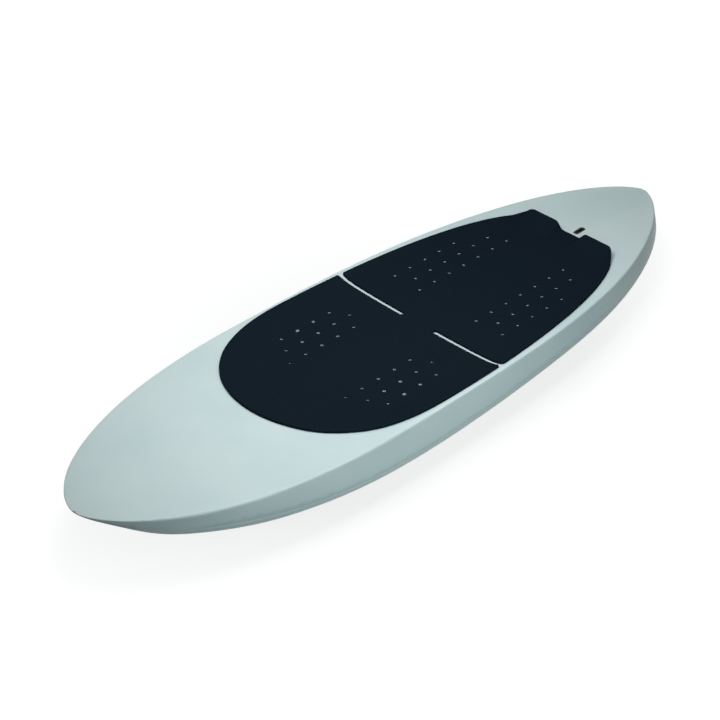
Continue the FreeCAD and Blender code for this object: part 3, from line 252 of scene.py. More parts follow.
paper = bpy.data.materials.new("floor_paper")
paper.use_nodes = True
paper_tree = paper.node_tree
bounce = paper_tree.nodes["Principled BSDF"]
bounce.inputs["Base Color"].default_value = (*(FLOOR_BOUNCE * share for share in SHADE_TINT), 1)
bounce.inputs["Roughness"].default_value = 1
bounce.inputs["Specular IOR Level"].default_value = 0
bounce.inputs["Emission Color"].default_value = (*SHADE_TINT, 1)
bounce.inputs["Emission Strength"].default_value = FLOOR_LIGHT
floor.data.materials.append(paper)
print("the floor throws back", FLOOR_BOUNCE, "of the light")

# %% [markdown]
# ## What the viewer sees of the floor
#
# To the viewer the floor is nearly white and keeps the board's shadow: a grey that takes the
# shadow, with an even glow on top. Far from the lamps the grey would darken, so the glow grows
# there. From below the floor is clear, because otherwise it would hide the board.

# %% Mix the paper for the viewer
FLOOR_SEEN = 0.25
GLOW_NEAR = 0.78
GLOW_FAR = 1.0
GLOW_FROM = 0.35
GLOW_TO = 1.0

shade = paper_tree.nodes.new("ShaderNodeBsdfDiffuse")
shade.inputs["Color"].default_value = (FLOOR_SEEN, FLOOR_SEEN, FLOOR_SEEN, 1)
spot = paper_tree.nodes.new("ShaderNodeTexCoord")
distance = paper_tree.nodes.new("ShaderNodeVectorMath")
distance.operation = "LENGTH"
paper_tree.links.new(spot.outputs["Object"], distance.inputs[0])
strength = range_node(paper_tree, distance.outputs["Value"], GLOW_NEAR, GLOW_FAR, GLOW_FROM, GLOW_TO)
glow = paper_tree.nodes.new("ShaderNodeEmission")
paper_tree.links.new(strength, glow.inputs["Strength"])
shown = paper_tree.nodes.new("ShaderNodeAddShader")
paper_tree.links.new(shade.outputs[0], shown.inputs[0])
paper_tree.links.new(glow.outputs[0], shown.inputs[1])
print("glow from", GLOW_NEAR, "to", GLOW_FAR)

# %% [markdown]
# ## One paper from both
#
# Two floors, one for light and one for the eye, could each be hidden from the other's rays. One
# material that asks what kind of ray hits it is simpler, because only one plane has to be laid.

# %% Join both and clear the back
from_above = mix_node(paper_tree, seen_ray(paper_tree), bounce.outputs[0], shown.outputs[0])
face_side = paper_tree.nodes.new("ShaderNodeNewGeometry").outputs["Backfacing"]
clear = paper_tree.nodes.new("ShaderNodeBsdfTransparent")
whole_paper = mix_node(paper_tree, face_side, from_above, clear.outputs[0])
paper_tree.links.new(whole_paper, paper_tree.nodes["Material Output"].inputs["Surface"])
print(paper.name, "has", len(paper_tree.nodes), "nodes")

# %% [markdown]
# ## Tools for the finishes
#
# Every finish is one Principled shader with a few noise textures in front of it. The textures
# read Object coordinates, which are metres on this board, so a scale of 1000 is a grain of
# about a millimetre. Four helpers are enough: a noise, a change of tone, a bump and a change
# of gloss.

# %% Finish helpers
def new_finish(name, colour, roughness, specular=0.5):
    """A material with even values on its shader's own sockets."""
    finish = bpy.data.materials.new(name)
    finish.use_nodes = True
    shader = finish.node_tree.nodes["Principled BSDF"]
    shader.inputs["Base Color"].default_value = (*colour, 1)
    shader.inputs["Roughness"].default_value = roughness
    shader.inputs["Specular IOR Level"].default_value = specular
    return finish


def grain(finish, scale, detail=2.0, stretch=(1, 1, 1), cells=False):
    """A noise or cell texture in the object's own metres."""
    tree = finish.node_tree
    place = tree.nodes.new("ShaderNodeTexCoord")
    mapping = tree.nodes.new("ShaderNodeMapping")
    mapping.inputs["Scale"].default_value = stretch
    texture = tree.nodes.new("ShaderNodeTexVoronoi" if cells else "ShaderNodeTexNoise")
    texture.inputs["Scale"].default_value = scale
    if not cells:
        texture.inputs["Detail"].default_value = detail
    tree.links.new(place.outputs["Object"], mapping.inputs["Vector"])
    tree.links.new(mapping.outputs["Vector"], texture.inputs["Vector"])
    return texture.outputs["Distance" if cells else "Fac"]


def tone(finish, source, dark, light, low=0.35, high=0.65):
    """Lets a texture move the base colour between two tones."""
    tree = finish.node_tree
    ramp = tree.nodes.new("ShaderNodeValToRGB")
    for element, position, colour in zip(ramp.color_ramp.elements, (low, high), (dark, light)):
        element.position = position
        element.color = (*colour, 1)
    tree.links.new(source, ramp.inputs["Fac"])
    tree.links.new(ramp.outputs["Color"], tree.nodes["Principled BSDF"].inputs["Base Color"])


def bump(finish, source, depth, strength=1.0):
    """Lets a texture stand up by a depth in metres, on top of any bump made before."""
    tree = finish.node_tree
    node = tree.nodes.new("ShaderNodeBump")
    node.inputs["Distance"].default_value = depth
    node.inputs["Strength"].default_value = strength
    tree.links.new(source, node.inputs["Height"])
    normal = tree.nodes["Principled BSDF"].inputs["Normal"]
    if normal.is_linked:
        tree.links.new(normal.links[0].from_socket, node.inputs["Normal"])
    tree.links.new(node.outputs["Normal"], normal)


def gloss(finish, source, low, high):
    """Lets a texture move the roughness between two values."""
    tree = finish.node_tree
    roughness = range_node(tree, source, low, high)
    tree.links.new(roughness, tree.nodes["Principled BSDF"].inputs["Roughness"])


print("helpers: new_finish, grain, tone, bump, gloss")

# %% [markdown]
# ## Hull paint
#
# The shell is sprayed with a satin grey-green paint. Sprayed paint is never dead flat: it has a
# faint cloudiness over hand widths, from the pressed sandwich below, and an orange peel a few
# millimetres across. Both are kept so weak that they only show in the highlights.

# %% Mix the hull paint
PAINT_DARK = (0.545, 0.664, 0.672)
PAINT_LIGHT = (0.592, 0.700, 0.698)
CLOUD_GRAIN = 7
SPRAY_GRAIN = 60
PEEL_GRAIN = 260
PEEL_DEPTH = 0.03 * MM
CLOUD_DEPTH = 0.8 * MM

hull_paint = new_finish("hull_paint", (0.58, 0.70, 0.70), roughness=0.42, specular=0.30)
clouds = grain(hull_paint, CLOUD_GRAIN, detail=3)
tone(hull_paint, clouds, PAINT_DARK, PAINT_LIGHT)
gloss(hull_paint, grain(hull_paint, SPRAY_GRAIN, detail=4), 0.36, 0.48)
bump(hull_paint, grain(hull_paint, PEEL_GRAIN, detail=1), PEEL_DEPTH)
bump(hull_paint, clouds, CLOUD_DEPTH, strength=0.35)
print(hull_paint.name, "has", len(hull_paint.node_tree.nodes), "nodes")

# %% [markdown]
# ## The crown of the rail
#
# The side of the board is slightly barrel shaped, so it is light near the deck and darkens
# downwards. The solid's side is straighter. A bump whose height falls with the square of the
# distance from the rail's middle bends the light in the same way. The middle climbs towards both
# tips, as the bottom of the board does.

# %% Crown the rail
RAIL_MIDDLE = 48 * MM
RAIL_LIFT = 46 * MM
RAIL_LIFT_FROM = 250 * MM
RAIL_LIFT_TO = 800 * MM
RAIL_CROWN = 5

paint_tree = hull_paint.node_tree
axes = paint_tree.nodes.new("ShaderNodeSeparateXYZ")
paint_tree.links.new(paint_tree.nodes.new("ShaderNodeTexCoord").outputs["Object"], axes.inputs[0])
from_middle = math_node(paint_tree, "ABSOLUTE", axes.outputs["X"])
rail_middle = range_node(
    paint_tree, from_middle, RAIL_MIDDLE, RAIL_MIDDLE + RAIL_LIFT,
    RAIL_LIFT_FROM, RAIL_LIFT_TO, "SMOOTHSTEP",
)
above_middle = math_node(paint_tree, "SUBTRACT", axes.outputs["Z"], rail_middle)
square = math_node(paint_tree, "MULTIPLY", above_middle, above_middle)
bump(hull_paint, math_node(paint_tree, "MULTIPLY", square, -RAIL_CROWN), 1.0)
print(hull_paint.name, "now has", len(paint_tree.nodes), "nodes")

# %% [markdown]
# ## Pad foam
#
# The deck pad is closed-cell foam, dark blue-grey and matt. Its surface is sanded, so it shows a
# fine grain of open cells and no shine. Cells are a Voronoi texture, which has round cells where
# a noise has only clouds, and a finer noise breaks them up.

# %% Mix the pad foam
FOAM_DARK = (0.0068, 0.0126, 0.0198)
FOAM_LIGHT = (0.0092, 0.0158, 0.0238)
TONE_GRAIN = 420
CELL_GRAIN = 1100
DUST_GRAIN = 2600

pad_foam = new_finish("pad_foam", (0.0080, 0.0142, 0.0218), roughness=1.0, specular=0.0)
open_cells = grain(pad_foam, CELL_GRAIN, cells=True)
tone(pad_foam, grain(pad_foam, TONE_GRAIN, detail=6), FOAM_DARK, FOAM_LIGHT)
bump(pad_foam, open_cells, 0.12 * MM)
bump(pad_foam, grain(pad_foam, DUST_GRAIN, detail=3), 0.08 * MM)
print(pad_foam.name, "has", len(pad_foam.node_tree.nodes), "nodes")

# %% [markdown]
# ## Moulded plastics and rubbers
#
# The plugs, tracks, handle tub and vent are injection moulded. Their moulds are spark eroded,
# which leaves an even fine texture, so one recipe serves all of them with its own tones and
# depth. Rubber is the same recipe with more depth and less shine.

# %% Write the recipe for mouldings
MOULD_GRAIN = 1400
RUBBER_GRAIN = 900
GRAINS_PER_TONE = 6
GLOSS_SPREAD = 0.08


def moulded(name, dark, light, roughness, depth, scale=MOULD_GRAIN, specular=0.5):
    """A moulded plastic or rubber between two tones."""
    finish = new_finish(name, light, roughness, specular)
    texture = grain(finish, scale, detail=4)
    tone(finish, grain(finish, scale / GRAINS_PER_TONE, detail=3), dark, light)
    gloss(finish, texture, roughness - GLOSS_SPREAD, roughness + GLOSS_SPREAD)
    bump(finish, texture, depth)
    return finish


print("moulded grain of", round(1 / MOULD_GRAIN / MM, 2), "mm")

# %% [markdown]
# ## Five mouldings
#
# The footstrap inserts are of a light plastic, and everything else that is moulded is nearly
# black. Blacks differ by their shine: the vent is the glossiest and the rubber sleeve the
# dullest, with a coarser grain. One black for all would do from afar, but not on the bench.

# %% Mix the plastics and rubbers
insert_plastic = moulded(
    "insert_plastic", (0.58, 0.66, 0.69), (0.68, 0.76, 0.79), 0.55, 0.02 * MM,
)
black_plastic = moulded(
    "black_plastic", (0.012, 0.013, 0.015), (0.022, 0.023, 0.026), 0.48, 0.05 * MM,
)
vent_plastic = moulded(
    "vent_plastic", (0.016, 0.017, 0.019), (0.026, 0.027, 0.030), 0.34, 0.02 * MM,
)
grip_rubber = moulded(
    "grip_rubber", (0.014, 0.015, 0.017), (0.026, 0.028, 0.031), 0.78, 0.06 * MM, RUBBER_GRAIN, 0.3,
)
ring_rubber = moulded(
    "ring_rubber", (0.008, 0.008, 0.009), (0.014, 0.014, 0.015), 0.60, 0.02 * MM,
)
print("plastics and rubbers: 5")

# %% [markdown]
# ## Stainless steel
#
# The handle screws and the track nuts are stainless steel with a satin finish. Satin comes
# from tumbling and brushing, so the noise is drawn out along the board, and it moves the
# roughness as well as the tone. The leash bar is coloured nearly black, so it hardly shows in its
# slot.

# %% Mix the steels
ALONG_THE_BOARD = (0.06, 1, 1)

steel = new_finish("steel", (0.56, 0.57, 0.58), 0.32)
steel.node_tree.nodes["Principled BSDF"].inputs["Metallic"].default_value = 1
brushing = grain(steel, 900, detail=5, stretch=ALONG_THE_BOARD)
tone(steel, brushing, (0.50, 0.51, 0.52), (0.62, 0.63, 0.64))
gloss(steel, brushing, 0.24, 0.42)
bump(steel, brushing, 0.01 * MM)

dark_steel = new_finish("dark_steel", (0.030, 0.031, 0.033), 0.5, 0.3)
tone(dark_steel, grain(dark_steel, 900, detail=4), (0.022, 0.023, 0.025), (0.040, 0.041, 0.043))
bump(dark_steel, grain(dark_steel, 1800, detail=3), 0.01 * MM)
print(steel.name, "and", dark_steel.name)

# %% [markdown]
# ## Foams inside the hull
#
# The core is expanded polystyrene: beads of 3 to 4 mm pressed together, with thin darker
# borders. The blocks around the fittings are hard yellowish foam with cells too fine to see one
# by one. The film in the vent is felted and white.

# %% Mix the core materials
bead_foam = new_finish("bead_foam", (0.86, 0.86, 0.84), 0.75, 0.25)
beads = grain(bead_foam, 290, cells=True)
tone(bead_foam, beads, (0.90, 0.90, 0.88), (0.70, 0.70, 0.68), 0.45, 0.95)
bump(bead_foam, beads, -0.5 * MM)

hard_foam = new_finish("hard_foam", (0.62, 0.48, 0.24), 0.85, 0.2)
tone(hard_foam, grain(hard_foam, 700, detail=5), (0.54, 0.41, 0.20), (0.68, 0.54, 0.29))
bump(hard_foam, grain(hard_foam, 1500, cells=True), 0.15 * MM)

vent_film = new_finish("vent_film", (0.82, 0.82, 0.80), 0.85, 0.2)
tone(vent_film, grain(vent_film, 2200, detail=5), (0.76, 0.76, 0.74), (0.86, 0.86, 0.85))
bump(vent_film, grain(vent_film, 2600, detail=4), 0.04 * MM)
print("core materials: 3")

# %% [markdown]
# ## Give each solid its finish
#
# The solids' names say what they are, so one table of words is enough. The first word that a
# name holds decides. A solid keeps its mesh: only its material slots change.

# %% Hand out the finishes
FINISHES = (
    ("skin", hull_paint), ("eps_core", bead_foam), ("block", hard_foam), ("stringer", hard_foam),
    ("deck_pad", pad_foam), ("kick_wedge", pad_foam), ("insert_plugs", insert_plastic),
    ("plug_bar", dark_steel), ("screws", steel), ("track_nut", steel), ("membrane", vent_film),
    ("o_ring", ring_rubber), ("vent", vent_plastic), ("grip", grip_rubber), ("", black_plastic),
)


def finish_for(node):
    """The finish of the first word in the table that a name holds."""
    return next(finish for word, finish in FINISHES if word in node)


for node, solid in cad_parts.items():
    solid.data.materials.clear()
    solid.data.materials.append(finish_for(node))
print({node: finish_for(node).name for node in sorted(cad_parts)})

# %% [markdown]
# ## Smooth shells
#
# A frame solid is loose triangles, so light breaks at each of them. A copy whose doubled corners
# are merged can be shaded smooth. Where a large face meets small ones, as around the leash plug,
# plain smooth shading leaves streaks, so the normals are weighted by the faces' areas. The hull's
# two shells and its core need no more. Each copy then stands for its solid.

# %% Make smooth copies
MERGE = 0.001 * MM
SMOOTH_ANGLE = math.radians(32)
LARGE_FACES_DECIDE = 100


def only(item):
    """Selects one object and makes it active."""
    bpy.ops.object.select_all(action="DESELECT")
    item.select_set(True)
    bpy.context.view_layer.objects.active = item


def merged_copy(node, name):
    """A copy of a solid with its corners merged, shaded smooth up to an angle."""
    copy = bpy.data.objects.new(name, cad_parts[node].data.copy())
    scene.collection.objects.link(copy)
    only(copy)
    bpy.ops.object.mode_set(mode="EDIT")
    bpy.ops.mesh.select_all(action="SELECT")
    bpy.ops.mesh.remove_doubles(threshold=MERGE)
    bpy.ops.object.mode_set(mode="OBJECT")
    bpy.ops.object.shade_smooth_by_angle(angle=SMOOTH_ANGLE)
    even = copy.modifiers.new("even", "WEIGHTED_NORMAL")
    even.keep_sharp = True
    even.weight = LARGE_FACES_DECIDE
    bpy.ops.object.modifier_apply(modifier=even.name)
    return copy


def stands_for(piece, slot, *nodes):
    """Puts a finished piece on the board in place of its solids."""
    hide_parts(*nodes)
    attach(piece, "board")


deck_shell = merged_copy("deck_skin", "deck_shell")
stands_for(deck_shell, "hull", "deck_skin")
bottom_shell = merged_copy("bottom_skin", "bottom_shell")
stands_for(bottom_shell, "hull", "bottom_skin")
core = merged_copy("eps_core", "bead_core")
stands_for(core, "core_foam", "eps_core")
shells = (deck_shell, bottom_shell, core)
for shell in shells:
    print(shell.name, len(shell.data.polygons), "faces")

# %% [markdown]
# ## The thin tip of the nose
#
# The sandwich shell of a real board is sanded thin at the tip, where the deck and the bottom meet
# in one edge. The frame keeps a blunt end there. Sculpting would do, but a rule is steadier: over
# the last centimetres all heights are drawn towards one line, on both shells and the core alike.

# %% Draw the nose to a thin tip
NOSE_TIP = cad_box[1][0]
NOSE_FROM = NOSE_TIP - 120 * MM
NOSE_SQUEEZE = 0.85
NOSE_LINE_SHARE = 0.64
TIP_SLICE = 6 * MM

corners = [vertex for shell in shells for vertex in shell.data.vertices]
tip_heights = [vertex.co.z for vertex in corners if vertex.co.x > NOSE_TIP - TIP_SLICE]
nose_line = min(tip_heights) + NOSE_LINE_SHARE * (max(tip_heights) - min(tip_heights))
for vertex in corners:
    way = max(0, (vertex.co.x - NOSE_FROM) / (NOSE_TIP - NOSE_FROM))
    vertex.co.z += (nose_line - vertex.co.z) * NOSE_SQUEEZE * way**3
print("blunt tip from", round(min(tip_heights) / MM, 1), "to", round(max(tip_heights) / MM, 1), "mm")

# %% [markdown]
# ## Softened fittings
#
# Moulded fittings have edges with a small radius, which catch the light as a thin line. A bevel
# in the shader would do for one picture, but it isn't part of the shape. So their copies get a
# narrow real bevel, after the triangles of each flat face are joined, because a bevel follows
# every edge that it finds.

# %% Soften the fittings
FITTINGS = (
    ("leash_plug_cup", "black_plastic", 0.4), ("foil_track_left", "black_plastic", 0.4),
    ("foil_track_right", "black_plastic", 0.4), ("handle_tray", "black_plastic", 0.6),
    ("handle_bar", "black_plastic", 0.6), ("vent_housing", "vent_plastic", 0.4),
    ("vent_cap", "vent_plastic", 0.3),
)
FLAT_ANGLE = math.radians(1)
BEVEL_ANGLE = math.radians(50)
BEVEL_STEPS = 2


def apply_modifiers(item):
    """Makes every modifier of an object part of its mesh."""
    only(item)
    for modifier in list(item.modifiers):
        bpy.ops.object.modifier_apply(modifier=modifier.name)


def softened_copy(node, width):
    """A merged copy with flat faces joined and a narrow bevel along its edges."""
    copy = merged_copy(node, f"{node}_moulding")
    bpy.ops.object.mode_set(mode="EDIT")
    bpy.ops.mesh.select_all(action="SELECT")
    bpy.ops.mesh.dissolve_limited(angle_limit=FLAT_ANGLE)
    bpy.ops.object.mode_set(mode="OBJECT")
    soften = copy.modifiers.new("soften", "BEVEL")
    soften.width = width
    soften.segments = BEVEL_STEPS
    soften.limit_method = "ANGLE"
    soften.angle_limit = BEVEL_ANGLE
    soften.harden_normals = True
    apply_modifiers(copy)
    return copy


for node, slot, width in FITTINGS:
    moulding = softened_copy(node, width * MM)
    stands_for(moulding, slot, node)
    print(moulding.name, len(moulding.data.polygons), "faces")

# %% [markdown]
# ## Where the inserts come through
#
# The pad has a hole over each footstrap insert: three rows on each side in front and three
# behind, 40 mm from hole to hole. A list of places could be searched from end to end each time,
# but a tree finds the nearest hole quickly.

# %% List the insert holes
INSERT_PITCH = 40 * MM
ROWS = (
    (177.8, 75, 5), (155.8, 109, 5), (137.8, 142, 4),
    (-154.6, 75, 7), (-177.0, 109, 6), (-155.0, 142, 5),
)


def search_tree(places):
    """A tree that finds the nearest of some places seen from above."""
    tree = KDTree(len(places))
    for index, place in enumerate(places):
        tree.insert((place.x, place.y, 0), index)
    tree.balance()
    return tree


holes = []
for first_x, row_y, count in ROWS:
    for step in range(count):
        for side in (1, -1):
            holes.append(Vector((first_x * MM - step * INSERT_PITCH, side * row_y * MM)))
hole_tree = search_tree(holes)
print(len(holes), "insert holes")

# %% [markdown]
# ## Reading the deck
#
# The pad is glued to a dished deck, so it has to follow that surface. A ray dropped on the deck
# gives its height at any place. Where the ray would fall into the hole of an insert, four rays
# around that place are averaged instead, because the deck is nearly straight over such a distance.

# %% Drop rays on the deck
PROBE_TOP = cad_box[1][2] + 50 * MM
PROBE_STEP = 7 * MM
LOWEST_DECK = 60 * MM
AROUND = ((1, 0), (-1, 0), (0, 1), (0, -1))

reading = bmesh.new()
reading.from_mesh(deck_shell.data)
deck_tree = BVHTree.FromBMesh(reading)
reading.free()


def drop(x, y):
    """Height of the deck under a point, or None over a hole."""
    hit = deck_tree.ray_cast(Vector((x, y, PROBE_TOP)), Vector((0, 0, -1)))[0]
    return hit.z if hit is not None and hit.z > LOWEST_DECK else None


def deck_height(x, y):
    """Height of the deck at any point, bridged over the holes."""
    straight = drop(x, y)
    if straight is not None and hole_tree.find((x, y, 0))[2] >= PROBE_STEP:
        return straight
    around = [drop(x + PROBE_STEP * dx, y + PROBE_STEP * dy) for dx, dy in AROUND]
    found = [height for height in around if height is not None]
    return sum(found) / len(found)


print("deck at the middle", round(deck_height(0, 0) / MM, 2), "mm")

# %% [markdown]
# ## Rounding a corner
#
# A corner of cut foam is never sharp. A bevel could round it afterwards, but the outline itself
# is easier to control: an arc that touches both directions takes the corner's place.

# %% Corner helpers
CORNER_STEPS = 8


def arc_about(centre, start, end, steps):
    """Points on the short arc from start to end."""
    first = math.atan2(start.y - centre.y, start.x - centre.x)
    last = math.atan2(end.y - centre.y, end.x - centre.x)
    sweep = (last - first + math.pi) % (2 * math.pi) - math.pi
    radius = (start - centre).length
    angles = [first + sweep * step / steps for step in range(steps + 1)]
    return [centre + Vector((math.cos(angle), math.sin(angle))) * radius for angle in angles]


def round_corner(corner, before, after, radius, steps=CORNER_STEPS):
    """The arc that rounds a corner between two directions."""
    first, second = (before - corner).normalized(), (after - corner).normalized()
    half = first.angle(second) / 2
    centre = corner + (first + second).normalized() * (radius / math.sin(half))
    reach = radius / math.tan(half)
    return arc_about(centre, corner + first * reach, corner + second * reach, steps)


print("an arc has", CORNER_STEPS, "steps")

# %% [markdown]
# ## The sides of the pad
#
# Seen from above, the pad is two power curves that meet at its widest place: a full round bow
# and a side that closes slowly towards the tail. They could be traced as a list of points, but
# the formula is shorter and has no wobble.

# %% Draw the sides
PAD_HALF_WIDTH = 217 * MM
PAD_WIDEST_X = 65 * MM
PAD_NOSE_X = 342 * MM
PAD_TAIL_X = -501 * MM
PAD_CLOSE_X = -530 * MM
BOW_POWER = 2.5
STERN_POWER = 3.2
BOW_STEPS = 60
SIDE_STEP = 6 * MM


def pad_half_width(x):
    """Half of the pad's width at a place along the board."""
    if x > PAD_WIDEST_X:
        way = min(1, (x - PAD_WIDEST_X) / (PAD_NOSE_X - PAD_WIDEST_X))
        return PAD_HALF_WIDTH * math.sqrt(1 - way**BOW_POWER)
    way = (PAD_WIDEST_X - x) / (PAD_WIDEST_X - PAD_CLOSE_X)
    return PAD_HALF_WIDTH * (1 - way**2) ** (1 / STERN_POWER)


def side_point(x):
    """The point of the port side at a place along the board."""
    return Vector((x, pad_half_width(x)))


def side_run(start, end):
    """Points along the side, evenly spaced, from one place to another, both left out."""
    count = max(2, round(abs(end - start) / SIDE_STEP))
    return [side_point(start + (end - start) * step / count) for step in range(1, count)]


def bow_points():
    """The round front, from its tip to the widest place."""
    length = PAD_NOSE_X - PAD_WIDEST_X
    angles = [math.radians(90) * (1 - step / BOW_STEPS) for step in range(BOW_STEPS)]
    points = [side_point(PAD_WIDEST_X + length * math.sin(angle)) for angle in angles]
    points[0] = Vector((PAD_NOSE_X, 0))
    return points + [side_point(PAD_WIDEST_X)]


print("pad", round((PAD_NOSE_X - PAD_TAIL_X) / MM), "mm long,", len(bow_points()), "points in the bow")

# %% [markdown]
# ## The slots and the whole outline
#
# Two cross slots part the pad and leave a bridge in the middle, which lets a flat sheet of foam
# follow the dished deck. Their inner ends are round, because a sharp end would tear. The rear
# edge is straight. Only the port half is drawn, and the other one is its mirror image.

# %% Draw the outline
SLOT_X = -76.7 * MM
SLOT_WIDTH = 9 * MM
SLOT_FRONT = SLOT_X + SLOT_WIDTH / 2
SLOT_REAR = SLOT_X - SLOT_WIDTH / 2
SLOT_CORNER = 4.5 * MM
SLOT_CLEAR = SLOT_CORNER * 1.4
SLOT_STEPS = 28
SLOT_SHARES = [1 - step / SLOT_STEPS for step in range(2, SLOT_STEPS)]
SLOT_END_STEPS = 5
BRIDGE_HALF = 40 * MM
TAIL_CORNER = 22 * MM
TAIL_CLEAR = TAIL_CORNER * 1.1
TAIL_STEPS = 12
REAR_FIRST_SHARE = 0.72
REAR_STEP_SHARE = 0.03
REAR_POINTS = 25


def slot_points():
    """A cross slot, from its front corner at the side round its inner end to the rear corner."""
    inner = BRIDGE_HALF + SLOT_WIDTH / 2
    length = PAD_HALF_WIDTH - inner
    middle, end = Vector((SLOT_X, inner)), Vector((SLOT_X, BRIDGE_HALF))
    front, rear = Vector((SLOT_FRONT, inner)), Vector((SLOT_REAR, inner))
    ahead, behind = side_point(SLOT_FRONT + SLOT_CORNER), side_point(SLOT_REAR - SLOT_CORNER)
    points = round_corner(side_point(SLOT_FRONT), ahead, front, SLOT_CORNER)
    points += [Vector((SLOT_FRONT, inner + length * share)) for share in SLOT_SHARES]
    points += arc_about(middle, front, end, SLOT_END_STEPS)
    points += arc_about(middle, end, rear, SLOT_END_STEPS)[1:]
    points += [Vector((SLOT_REAR, inner + length * share)) for share in reversed(SLOT_SHARES)]
    return points + round_corner(side_point(SLOT_REAR), rear, behind, SLOT_CORNER)


def port_outline():
    """Half of the outline, from the tip of the nose to the middle of the rear edge."""
    points = bow_points() + side_run(PAD_WIDEST_X, SLOT_FRONT + SLOT_CLEAR)
    points += slot_points() + side_run(SLOT_REAR - SLOT_CLEAR, PAD_TAIL_X + TAIL_CLEAR)
    corner, ahead = side_point(PAD_TAIL_X), side_point(PAD_TAIL_X + TAIL_CORNER)
    points += round_corner(corner, ahead, Vector((PAD_TAIL_X, 0)), TAIL_CORNER, TAIL_STEPS)
    for step in range(REAR_POINTS):
        share = REAR_FIRST_SHARE - step * REAR_STEP_SHARE
        points.append(Vector((PAD_TAIL_X, corner.y * share)))
    return points


port = port_outline()
outline = port + [Vector((spot.x, -spot.y)) for spot in reversed(port) if abs(spot.y) > MM]
widest = max(spot.y for spot in outline)
print(len(outline), "points round the pad,", round(widest / MM, 1), "mm to its side")

# %% [markdown]
# ## The shape of the tail kick
#
# Behind, the pad rises into two humps that tell the rider's back foot where the board ends. A
# hump is the lowest of three slopes, the long ramp in front and the two sides, and the pad is the
# higher of its flat sheet and the hump. A soft minimum and a soft maximum round the creases
# between them, as the heat press does when the foam is formed.

# %% Shape the kick
PAD_THICKNESS = 5 * MM
GLUE = 0.3 * MM
BOARD_DEPTH = 100 * MM
KICK_HEIGHT = 21.3 * MM
KICK_LENGTH = 62 * MM
KICK_INNER_FOOT = 19 * MM
KICK_INNER_CREST = 37 * MM
KICK_OUTER_CREST = 107 * MM
KICK_OUTER_FOOT = 119 * MM
KICK_SOFTNESS = 4.5 * MM
CREASE_SOFTNESS = 3 * MM
RAMP_FOOT = PAD_THICKNESS / 2
RAMP_POWER = 1.5


def soft_least(first, second, softness):
    """The smaller of two values, rounded where they are nearly equal."""
    blend = max(softness - abs(first - second), 0) / softness
    return min(first, second) - blend * blend * softness / 4


def kick_top(x, y):
    """Height of a hump above the floor of the deck."""
    way = min(1, max(0, (PAD_TAIL_X + KICK_LENGTH - x) / KICK_LENGTH))
    ramp = RAMP_FOOT + (KICK_HEIGHT - RAMP_FOOT) * way**RAMP_POWER
    reach = abs(y)
    inner = KICK_HEIGHT * (reach - KICK_INNER_FOOT) / (KICK_INNER_CREST - KICK_INNER_FOOT)
    outer = KICK_HEIGHT * (KICK_OUTER_FOOT - reach) / (KICK_OUTER_FOOT - KICK_OUTER_CREST)
    return soft_least(soft_least(ramp, inner, KICK_SOFTNESS), outer, KICK_SOFTNESS)


def pad_bottom(x, y):
    """Height of the pad's lower face."""
    return deck_height(x, y) + GLUE


def pad_top(x, y):
    """Height of the pad's upper face."""
    flat = pad_bottom(x, y) + PAD_THICKNESS
    if x > PAD_TAIL_X + KICK_LENGTH + CREASE_SOFTNESS:
        return flat
    hump = BOARD_DEPTH + kick_top(x, y)
    return -soft_least(-flat, -hump, CREASE_SOFTNESS)


crest = pad_top(PAD_TAIL_X, (KICK_INNER_CREST + KICK_OUTER_CREST) / 2)
print("kick crest", round(crest / MM, 1), "mm, bridge", round(pad_top(0, 0) / MM, 1), "mm")

# %% [markdown]
# ## The rims of the sheet
#
# As by hand, the pad would be a grid cut with the outline and bevelled, but a cut grid leaves
# slivers along the edge that spoil a bevel. So the sheet starts from its rims. Each is a loop,
# the outline or a hole, and a second loop further in, where the rounded edge ends. The foam is
# punched a little smaller than the neck of an insert, so its upper part laps over as a lip.

# %% Lay out the rims
RIM_ROUND = 1.6 * MM
HOLE_ROUND = 0.5 * MM
HOLE_RADIUS = 3.9 * MM
HOLE_LIP = 2.9 * MM
HOLE_SIDES = 20


def inward_normals(loop):
    """Unit normals on the material's side of a closed loop that has it on the left."""
    normals = []
    for index, spot in enumerate(loop):
        along = loop[(index + 1) % len(loop)] - loop[index - 1]
        normals.append(Vector((-along.y, along.x)).normalized())
    return normals


def hole_loop(hole):
    """A hole's edge, run clockwise so that the foam is on its left."""
    points = []
    for step in range(HOLE_SIDES):
        turn = -2 * math.pi * step / HOLE_SIDES
        points.append(Vector((hole.x + HOLE_LIP * math.cos(turn), hole.y + HOLE_LIP * math.sin(turn))))
    return points


loops = [(outline, RIM_ROUND)] + [(hole_loop(hole), HOLE_ROUND) for hole in holes]
inner_loops = []
for loop, radius in loops:
    inner_loops.append([spot + normal * radius for spot, normal in zip(loop, inward_normals(loop))])
rim_points = [spot for loop in inner_loops for spot in loop]
rim_tree = search_tree(rim_points)
print(len(loops), "rims with", len(rim_points), "points")

# %% [markdown]
# ## The points inside
#
# Between the rims the sheet needs even points: a staggered grid, coarse on the flat pad and fine
# on the kick, where the height changes quickly. Points too near a rim would make thin triangles,
# so they are left out.

# %% Scatter the grid
GRID_STEP = 9 * MM
KICK_GRID_STEP = 3.6 * MM
GRID_ROW_SHARE = 0.866
RIM_CLEAR_SHARE = 0.55


def on_foam(x, y):
    """True well inside the outline and outside the slots."""
    if not PAD_TAIL_X < x < PAD_NOSE_X:
        return False
    in_slot = abs(x - SLOT_X) < SLOT_WIDTH and abs(y) > BRIDGE_HALF - SLOT_WIDTH
    return abs(y) < pad_half_width(x) - 2 * RIM_ROUND and not in_slot


